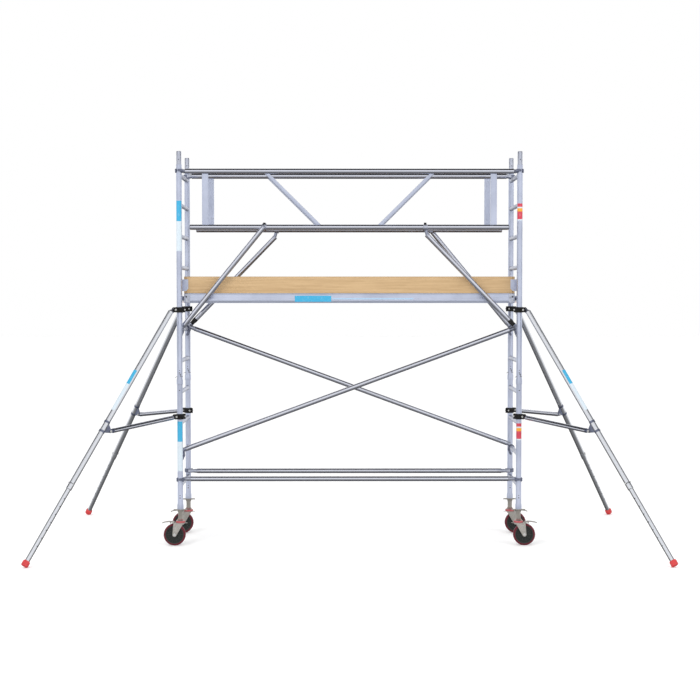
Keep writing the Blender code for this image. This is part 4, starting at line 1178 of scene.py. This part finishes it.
def castor_fork():
    """The pressed fork: crown, two V legs with a pressed rib, lower race, axle bolt and pedal ears."""
    bottom = FORK_TOP - 0.006
    shape = Shape(ZINC)
    crown = arc((0, 0), 0.036, 90, 270, 20) + [
        (0.050, -0.034), (0.056, -0.028), (0.056, 0.028), (0.050, 0.034)
    ]
    shape.prism(crown, 0.006, at(0, 0, bottom + 0.003), 0.0012)
    leg = [
        (-0.030, FORK_TOP - 0.0005), *arc((TRAIL, WHEEL_R), 0.0185, 200, 362, 14),
        (0.062, FORK_TOP - 0.0005)
    ]
    rib = [
        (-0.006, FORK_TOP - 0.014), (TRAIL - 0.008, WHEEL_R + 0.030), (TRAIL + 0.006, WHEEL_R + 0.030),
        (0.046, FORK_TOP - 0.014)
    ]
    for side in (-1, 1):
        outer = FORK_Y + FORK_LEG
        shape.use(ZINC).prism(leg, FORK_LEG, at(0, side * (FORK_Y + FORK_LEG / 2), 0) @ XZ, 0.0010)
        shape.prism(rib, 0.0022, at(0, side * (outer + 0.0006), 0) @ XZ, 0.0009)
        edge = [(-0.030, outer - 0.003, FORK_TOP - 0.004), (0.062, outer - 0.003, FORK_TOP - 0.004)]
        shape.sweep([(x, side * y, z) for x, y, z in edge], 0.0034, 10)
        ear = [
            (0.046, bottom + 0.001), (0.074, bottom + 0.001), *arc(PEDAL_PIN, 0.008, 10, 170, 8),
            (0.046, bottom + 0.006)
        ]
        shape.prism(ear, 0.004, at(0, side * 0.0262, 0) @ XZ, 0.0006)
        place = at(TRAIL, side * outer, WHEEL_R) @ turn(-90 * side, "X")
        shape.use(BOLT).bolt(place, 0.0095, 0.0065, 0.0135)
    shape.use(BOLT).tube((TRAIL, -outer, WHEEL_R), (TRAIL, outer, WHEEL_R), 0.006, steps=20)
    x, z = PEDAL_PIN
    shape.tube((x, -0.0290, z), (x, 0.0290, z), 0.0035, steps=16)
    shape.use(ZINC).block((-0.062, -0.009, bottom + 0.001), (-0.030, 0.009, FORK_TOP - 0.001), edge=0.0015)
    return shape.use(SEAL).lathe(
        [(0.010, FORK_TOP - 0.001), (0.034, FORK_TOP - 0.001), (0.034, FORK_TOP), (0.010, FORK_TOP)],
        steps=40, closed=True
    )


def castor_wheel():
    """A rounded tyre on a ribbed core with a bearing hub, about its axle at the origin."""
    shape = Shape(TYRE)
    r = WHEEL_R
    half = [
        (0.0175, r), (0.0205, r - 0.0012), (0.0232, r - 0.0050), (0.0238, r - 0.0100), (0.0225, r - 0.0150)
    ]
    tread = [(radius, -y) for y, radius in reversed(half)] + [(radius, y) for y, radius in half]
    shape.lathe(tread + [(r - 0.022, 0.018), (r - 0.022, -0.018)], XZ, 96, closed=True)
    core = [
        (0.0075, 0.0270), (0.0170, 0.0270), (0.0195, 0.0245), (0.0205, 0.0170), (0.0240, 0.0125),
        (0.0700, 0.0105),
        (0.0730, 0.0130), (0.0750, 0.0205), (0.0780, 0.0220), (0.0850, 0.0220), (0.0858, 0.0205),
    ]
    mirrored = [(radius, -y) for radius, y in reversed(core)]
    shape.use(CORE).lathe(core + mirrored, XZ, 72, closed=True)
    for side in (-1, 1):
        for k in range(10):
            spoke = XZ @ turn(36 * k) @ at(0, 0, side * 0.0145)
            shape.block((0.0200, -0.0020, -0.0045), (0.0735, 0.0020, 0.0045), spoke, 0.0008)
        shape.use(BOLT).lathe(
            [(0.0066, 0.0262), (0.0135, 0.0262), (0.0135, 0.0276), (0.0066, 0.0276)],
            XZ @ turn(180 * (side < 0), "X"), 32, closed=True
        )
        shape.use(CORE)
    return shape


def castor_pedal():
    """The brake pedal about its pin: barrel, ribbed and dished tread, and shoe."""
    shape = Shape(ZINC)
    shape.tube((0, -0.0228, 0), (0, 0.0228, 0), 0.0066, 0.0040, 24)
    rings = []
    profile = (
        (0.002, 0.0015, 0.0200), (0.020, 0.0035, 0.0205), (0.045, 0.0030, 0.0215), (0.070, 0.0000, 0.0220),
        (0.090, -0.0050, 0.0205), (0.102, -0.0092, 0.0150), (0.1055, -0.0108, 0.0080),
    )
    for x, z, half in profile:
        thick = 0.0019
        ring = []
        for y, lift in ((-1, 0.0030), (-0.8, 0.0008), (0, 0.0), (0.8, 0.0008), (1, 0.0030)):
            ring.append(Vector((x, y * half, z + lift + thick)))
        for y, lift in ((1, 0.0030), (0.8, 0.0008), (0, 0.0), (-0.8, 0.0008), (-1, 0.0030)):
            ring.append(Vector((x, y * half * 0.98, z + lift - thick)))
        rings.append(ring)
    shape.loft(rings, around=0.09)
    for x in (0.060, 0.068, 0.076, 0.084, 0.092):
        z = 0.0010 - (x - 0.060) * 0.22
        shape.use(SEAL if x == 0.060 else ZINC).tube(
            (x, -0.0150, z + 0.0022), (x, 0.0150, z + 0.0022), 0.0013, steps=10
        )
    return shape.use(ZINC).block((0.019, -0.0148, -0.0133), (0.029, 0.0148, 0.0018), edge=0.0015)


def castors():
    makers = {
        "stem": castor_stem, "nut": castor_nut, "fork": castor_fork, "wheel": castor_wheel,
        "pedal": castor_pedal
    }
    meshes = {name: make().mesh(f"castor_{name}") for name, make in makers.items()}
    names = {"stem": "spindle", "nut": "wing_nut", "fork": "yoke", "wheel": "roller", "pedal": "brake"}
    inside = {"wheel": at(TRAIL, 0, WHEEL_R), "pedal": at(PEDAL_PIN[0], 0, PEDAL_PIN[1])}
    for corner, (x, y) in CORNERS.items():
        upright = at(x * END_X, y * SIDE_Y, 0) @ (Matrix() if x > 0 else HALF_TURN)
        for part, mesh in meshes.items():
            node = f"castor_{part}_{corner}"
            piece(f"{names[part]}_{corner}", mesh, node, [node], upright @ inside.get(part, Matrix()))


# ---------------------------------------------------------------- stabilisers


def leg_point(share, drop=0.0, aside=0.0):
    """A point at a share of the leg's length, below it by drop and beside it by aside."""
    top = Vector((LEG_TOP[0], 0, LEG_TOP[1]))
    foot = Vector((LEG_FOOT[0], 0, LEG_FOOT[1]))
    direction = (foot - top).normalized()
    below = Vector((direction.z, 0, -direction.x))
    return top + (foot - top) * share + below * drop + Vector((0, aside, 0))


def coupler(shape, z):
    """A black band clamp: two half shells, ears with an eye bolt and its nut, and two outer cheeks."""
    shape.use(BLACK)
    half = CLAMP_HEIGHT / 2
    for side in (-1, 1):
        cheek = [
            (0.024, -half + 0.002), (0.062, -half + 0.002), *arc((CLAMP_PIN_X, 0), half - 0.006, -60, 60, 10),
            (0.062, half - 0.002), (0.024, half - 0.002),
        ]
        shape.prism(cheek, 0.008, at(0, side * 0.0125, z) @ XZ, 0.0014)
    for first, last in ((8, 172), (188, 352)):
        outline = arc((0, 0), CLAMP_R, first, last, 22) + arc((0, 0), CLAMP_BORE, last, first, 22)
        shape.prism(outline, CLAMP_HEIGHT - 0.001, at(0, 0, z), 0.0018)
    for side in (-1, 1):
        y = sorted((side * 0.0030, side * 0.0138))
        shape.block((-0.056, y[0], z - half + 0.001), (-0.029, y[1], z + half - 0.001), edge=0.0022)
        shape.prism(
            arc(
                (0, 0), CLAMP_R + 0.0025, 60 * side, 120 * side, 10
            ) + arc((0, 0), CLAMP_R - 0.001, 120 * side, 60 * side, 10), 0.012, at(0, 0, z), 0.0012
        )
    shape.use(BOLT).tube((-0.045, -0.0200, z), (-0.045, 0.0250, z), 0.0048, steps=18)
    shape.bolt(at(-0.045, 0.0138, z) @ turn(-90, "X"), 0.0090, 0.0075)
    shape.lathe(
        [(0, 0), (0.0085, 0), (0.0085, 0.004), (0.0065, 0.006), (0, 0.006)], at(-0.045, -0.0138, z) @ XZ, 24
    )


def stabiliser_clamp():
    z = LEG_TOP[1]
    shape = Shape(BLACK)
    coupler(shape, z)
    for side in (-1, 1):
        out = turn(-90 * side, "X")
        shape.use(BOLT).bolt(at(CLAMP_PIN_X - 0.004, side * 0.0165, z) @ out, 0.0085, 0.0055, 0.0100)
    return shape.tube((CLAMP_PIN_X, -0.0165, z), (CLAMP_PIN_X, 0.0165, z), 0.005, steps=20)


def stabiliser_tube(labelled):
    """The outer tube: flattened eye, arm lug, adjusting collar, and its snap pin."""
    shape = Shape(LEG_TUBE)
    start, end = leg_point(OUTER_START), leg_point(OUTER_END)
    shape.tube(start, end, LEG_R, LEG_BORE, 44)
    direction = (end - start).normalized()
    pin = Vector((CLAMP_PIN_X, 0, LEG_TOP[1]))
    rings = []
    for share, wide, thick in (
        (0.0, 0.016, 0.0075), (0.35, 0.020, 0.0075), (0.7, 0.024, 0.012),
        (1.0, LEG_R - 0.0005, LEG_R - 0.0005)
    ):
        middle = pin.lerp(start + direction * 0.004, share)
        across = Vector((direction.z, 0, -direction.x))
        ring = []
        for i in range(44):
            angle = 2 * math.pi * (i + 0.5) / 44
            c, s = math.cos(angle), math.sin(angle)
            flat = 0.55 if share < 1 else 1.0
            ring.append(
                middle + across * wide * math.copysign(abs(c) ** flat, c)
                + Vector((0, thick * math.copysign(abs(s) ** flat, s), 0))
            )
        rings.append(ring)
    shape.use(CAST).loft(rings, around=0.15)
    shape.lathe(
        [
            (0, -0.0075), (0.0150, -0.0075), (0.0158, -0.0065), (0.0158, 0.0065), (0.0150, 0.0075),
            (0, 0.0075)
        ], at(*pin) @ XZ, 32
    )
    joint = leg_point(LUG_SHARE, LUG_DROP)
    high, low = leg_point(LUG_SHARE - 0.020, 0.010), leg_point(LUG_SHARE + 0.020, 0.010)
    lug = [(high.x, high.z), *arc((joint.x, joint.z), 0.0155, 200, 290, 12), (low.x, low.z)]
    shape.use(DARK_CAST).prism(lug, 0.014, XZ, 0.0016)
    for share in (LUG_SHARE - 0.018, LUG_SHARE + 0.018):
        middle = leg_point(share)
        ring = [
            (LEG_R + 0.0022, -0.010), (LEG_R + 0.0022, 0.010), (LEG_R - 0.0005, 0.010),
            (LEG_R - 0.0005, -0.010)
        ]
        shape.use(DARK_CAST).lathe(ring, along(middle, middle + direction), 40, closed=True)
    collar = leg_point(OUTER_END - 0.012)
    ring = [
        (LEG_R + 0.0010, -0.030), (LEG_R + 0.0014, -0.026), (LEG_R + 0.0014, 0.030), (LEG_R - 0.002, 0.034),
        (INNER_R + 0.0004, 0.034), (INNER_R + 0.0004, -0.030),
    ]
    shape.use(LEG_TUBE).lathe(ring, along(collar, collar + direction), 40, closed=True)
    snap_pin(shape, leg_point(OUTER_END - 0.022), direction)
    if labelled:
        axes = Matrix(((-direction.z, 0, direction.x), (0, -1, 0), (direction.x, 0, direction.z)))
        place = Matrix.Translation(leg_point(0)) @ axes.transposed().to_4x4()
        length = (leg_point(1) - leg_point(0)).length
        for material, low, high in ((FILM_BLUE, 0.255, 0.310), (FILM_WHITE, 0.310, 0.415)):
            shape.use(material)
            band(shape, low * length, high * length, LEG_R, -67, 67, place)
    return shape


def snap_pin(shape, point, direction):
    """A pin across the leg with its spring wire and head."""
    out = Vector((0, 1, 0))
    shape.use(BOLT).tube(point - out * (LEG_R + 0.011), point + out * (LEG_R + 0.008), 0.0042, steps=16)
    shape.lathe(
        [(0, 0), (0.0085, 0), (0.0085, 0.004), (0.006, 0.006), (0, 0.006)],
        at(*(point - out * (LEG_R + 0.008))) @ XZ, 20
    )
    across = direction.cross(out)
    points = []
    for i in range(15):
        angle = math.pi * i / 14
        points.append(
            point - out * math.cos(angle) * (LEG_R + 0.0065) + across * math.sin(angle) * (LEG_R + 0.0055)
            + direction * 0.002
        )
    shape.use(DARK_STEEL).sweep(points, 0.0014, 8)


def stabiliser_leg():
    """The inner tube with its row of adjusting holes, and a short rounded foot square to the tube."""
    shape = Shape(LEG_TUBE)
    shape.tube(leg_point(INNER_START), leg_point(0.990), INNER_R, INNER_BORE, 40)
    direction = (leg_point(1) - leg_point(0)).normalized()
    share = OUTER_END + 0.035
    # The adjusting holes, drawn as dots of painted shade.
    while share < 0.955:
        for side in (-1, 1):
            place = at(*leg_point(share, 0, side * INNER_R)) @ turn(-90 * side, "X")
            shape.use(HOLE_SHADE).dot(place, 0.0048)
        share += 0.0295
    cap = [
        (0, 0), (0.0245, 0), (0.0300, 0.006), (0.0318, 0.012), (0.0318, 0.044), (0.0280, 0.050),
        (0.0180, 0.0535), (0, 0.0545),
    ]
    top = leg_point(FOOT_START)
    shape.use(RED_PLASTIC).lathe(cap, along(top, top + direction), 40)
    return shape


def stabiliser_arm():
    """The arm with its clamp, neck and the cast fork bolted to the leg's lug."""
    shape = Shape(BRIGHT)
    coupler(shape, ARM_CLAMP_Z)
    joint = leg_point(LUG_SHARE, LUG_DROP)
    start = Vector((0.030, 0, ARM_CLAMP_Z))
    direction = (joint - start).normalized()
    tube_start, tube_end = start + direction * 0.056, joint - direction * 0.035
    for side in (-1, 1):
        out = turn(-90 * side, "X")
        shape.use(BOLT).bolt(at(0.052, side * 0.0165, ARM_CLAMP_Z) @ out, 0.0080, 0.0055, 0.0100)
    shape.use(BRIGHT).lathe(
        [(0, 0.020), (0.0150, 0.020), (0.0150, 0.050), (0.0205, 0.054), (0.0205, 0.060), (0, 0.060)],
        along(start, joint), 28,
    )
    shape.use(BRIGHT).tube(tube_start, tube_end, ARM_R, 0.018, 36)
    slope = math.degrees(math.atan2(direction.z, direction.x))
    place = Matrix.Translation(joint) @ turn(-slope, "Y")
    shape.use(DARK_CAST).tube(
        tube_end - direction * 0.002, tube_end + direction * 0.012, ARM_R + 0.0008, steps=32
    )
    cheek = [
        (-0.030, -0.0130), (0.0, -0.0130), *arc((0, 0), 0.0130, -70, 70, 10), (0.0, 0.0130),
        (-0.030, 0.0130)
    ]
    for side in (-1, 1):
        shape.use(DARK_CAST).prism(cheek, 0.0045, place @ at(0, side * 0.01075, 0) @ XZ, 0.0010)
        shape.use(BOLT).bolt(place @ at(0, side * 0.0130, 0) @ turn(-90 * side, "X"), 0.0078, 0.0050, 0.0100)
    return shape


def stabilisers():
    makers = {"clamp": stabiliser_clamp, "arm": stabiliser_arm, "leg": stabiliser_leg}
    meshes = {name: make().mesh(f"outrigger_{name}") for name, make in makers.items()}
    tubes = {side: stabiliser_tube(side < 0).mesh("outrigger_tube") for side in (-1, 1)}
    names = {"clamp": "coupler", "tube": "outrigger", "arm": "stay", "leg": "telescope"}
    for corner, (x, y) in CORNERS.items():
        angle = y * (STABILISER_ANGLES[y] if x > 0 else 180 - STABILISER_ANGLES[y])
        upright = at(x * END_X, y * SIDE_Y, 0) @ turn(angle)
        for part, mesh in (*meshes.items(), ("tube", tubes[y])):
            body = f"stabiliser_leg_{corner}" if part == "leg" else f"stabiliser_{corner}"
            node = f"stabiliser_{part}_{corner}"
            piece(f"{names[part]}_{corner}", mesh, body, [node], upright)


# ---------------------------------------------------------------- floor, light and camera


def studio_floor():
    bpy.ops.mesh.primitive_plane_add(size=120)
    floor = bpy.context.object
    floor.name = "studio_floor"
    floor.visible_glossy = False
    made = Finish("floor_paint", (0.99, 0.99, 0.99), 0.75)
    cloud = made.noise(made.place("Object", (0.6, 0.6, 0.6)), detail=3)
    made.link(made.shaded(made.spread(cloud, 0, 1), 0.985), "Base Color")
    made.shader.inputs["Specular IOR Level"].default_value = 0.1
    made.shader.inputs["Emission Color"].default_value = (1, 1, 1, 1)
    made.shader.inputs["Emission Strength"].default_value = 0.06
    floor.data.materials.append(made.material)


def sky():
    """A white room. Shiny tubes see a white wall and ceiling, a dark zone overhead, and a grey floor."""
    world = bpy.data.worlds.new("studio")
    SCENE.world = world
    world.use_nodes = True
    tree = world.node_tree
    tree.nodes.clear()
    out = tree.nodes.new("ShaderNodeOutputWorld")
    plain = tree.nodes.new("ShaderNodeBackground")
    plain.inputs["Color"].default_value = (1, 1, 1, 1)
    plain.inputs["Strength"].default_value = 1.0
    room = tree.nodes.new("ShaderNodeBackground")
    direction = tree.nodes.new("ShaderNodeTexCoord")
    split = tree.nodes.new("ShaderNodeSeparateXYZ")
    tree.links.new(direction.outputs["Generated"], split.inputs[0])

    def ramp(stops):
        rise = tree.nodes.new("ShaderNodeMapRange")
        rise.inputs["From Min"].default_value = -1
        tree.links.new(split.outputs["Z"], rise.inputs["Value"])
        made = tree.nodes.new("ShaderNodeValToRGB")
        tree.links.new(rise.outputs["Result"], made.inputs["Fac"])
        made.color_ramp.elements[0].position = stops[0][0]
        made.color_ramp.elements[1].position = stops[-1][0]
        for position, _ in stops[1:-1]:
            made.color_ramp.elements.new(position)
        for element, (_, value) in zip(made.color_ramp.elements, stops):
            element.color = (value, value, value, 1)
        return made.outputs["Color"]

    def edge(axis, nothing, full):
        """A factor that rises from 0 to 1 between two values along an axis of the view direction."""
        made = tree.nodes.new("ShaderNodeMapRange")
        made.inputs["From Min"].default_value = nothing
        made.inputs["From Max"].default_value = full
        tree.links.new(split.outputs[axis], made.inputs["Value"])
        return made.outputs["Result"]

    def darkened(colour, grey, *edges):
        """The colour with a grey zone where all the edges are full."""
        factor = edges[0]
        for other in edges[1:]:
            product = tree.nodes.new("ShaderNodeMath")
            product.operation = "MULTIPLY"
            tree.links.new(factor, product.inputs[0])
            tree.links.new(other, product.inputs[1])
            factor = product.outputs[0]
        mixed = tree.nodes.new("ShaderNodeMix")
        mixed.data_type = "RGBA"
        mixed.inputs[7].default_value = (grey, grey, grey, 1)
        tree.links.new(factor, mixed.inputs[0])
        tree.links.new(colour, mixed.inputs[6])
        return mixed.outputs[2]

    aside = tree.nodes.new("ShaderNodeMath")
    aside.operation = "ABSOLUTE"
    tree.links.new(split.outputs["X"], aside.inputs[0])
    level = tree.nodes.new("ShaderNodeMapRange")
    level.inputs["From Min"].default_value = 0.34
    level.inputs["From Max"].default_value = 0.24
    tree.links.new(aside.outputs[0], level.inputs["Value"])

    seen = ramp(
        ((0.0, 0.16), (0.18, 0.28), (0.30, 0.32), (0.36, 0.45), (0.44, 0.95), (0.50, 1.0), (1.0, 1.0))
    )
    seen = darkened(seen, 0.04, edge("Z", 0.19, 0.25), edge("Y", -0.36, -0.30), edge("Y", 0.41, 0.35))
    across = edge("Y", -0.68, -0.58), edge("Y", 0.78, 0.70), level.outputs["Result"]
    seen = darkened(seen, 0.02, edge("Z", 0.19, 0.25), *across)
    seen = darkened(seen, 0.10, edge("Z", -0.24, -0.30), edge("Y", -0.03, 0.03))
    tree.links.new(seen, room.inputs["Color"])
    path = tree.nodes.new("ShaderNodeLightPath")
    choice = tree.nodes.new("ShaderNodeMixShader")
    tree.links.new(path.outputs["Is Glossy Ray"], choice.inputs["Fac"])
    tree.links.new(plain.outputs[0], choice.inputs[1])
    tree.links.new(room.outputs[0], choice.inputs[2])
    tree.links.new(choice.outputs[0], out.inputs["Surface"])


def area_light(name, place, size, power, glossy=True):
    data = bpy.data.lights.new(name, "AREA")
    data.shape = "RECTANGLE"
    data.size, data.size_y = size
    data.energy = power
    made = bpy.data.objects.new(name, data)
    SCENE.collection.objects.link(made)
    made.location = place
    made.rotation_euler = (Vector((0, 0, 1.5)) - Vector(place)).to_track_quat("-Z", "Y").to_euler()
    made.visible_glossy = glossy


def studio_lights():
    area_light("key", (-6, -9, 9), (5, 5), 500, glossy=False)
    area_light("fill", (8, -7, 6), (5, 5), 220, glossy=False)


def photo_camera():
    focal_px, image_px = 1468.5, 700
    data = bpy.data.cameras.new("photo_view")
    data.sensor_width = 36
    data.lens = 36 * focal_px / image_px
    data.clip_end = 200
    camera = bpy.data.objects.new("photo_view", data)
    SCENE.collection.objects.link(camera)
    camera.location = (-0.054, -13.75, 2.34)
    camera.rotation_euler = (math.radians(90 - 2.34), 0, math.radians(-0.25))
    SCENE.camera = camera


end_frames()
guardrails_and_horizontals()
diagonal_braces()
guardrail_struts()
platform()
toe_boards()
castors()
stabilisers()
studio_floor()
sky()
studio_lights()
photo_camera()
SCENE.view_settings.view_transform = "Standard"
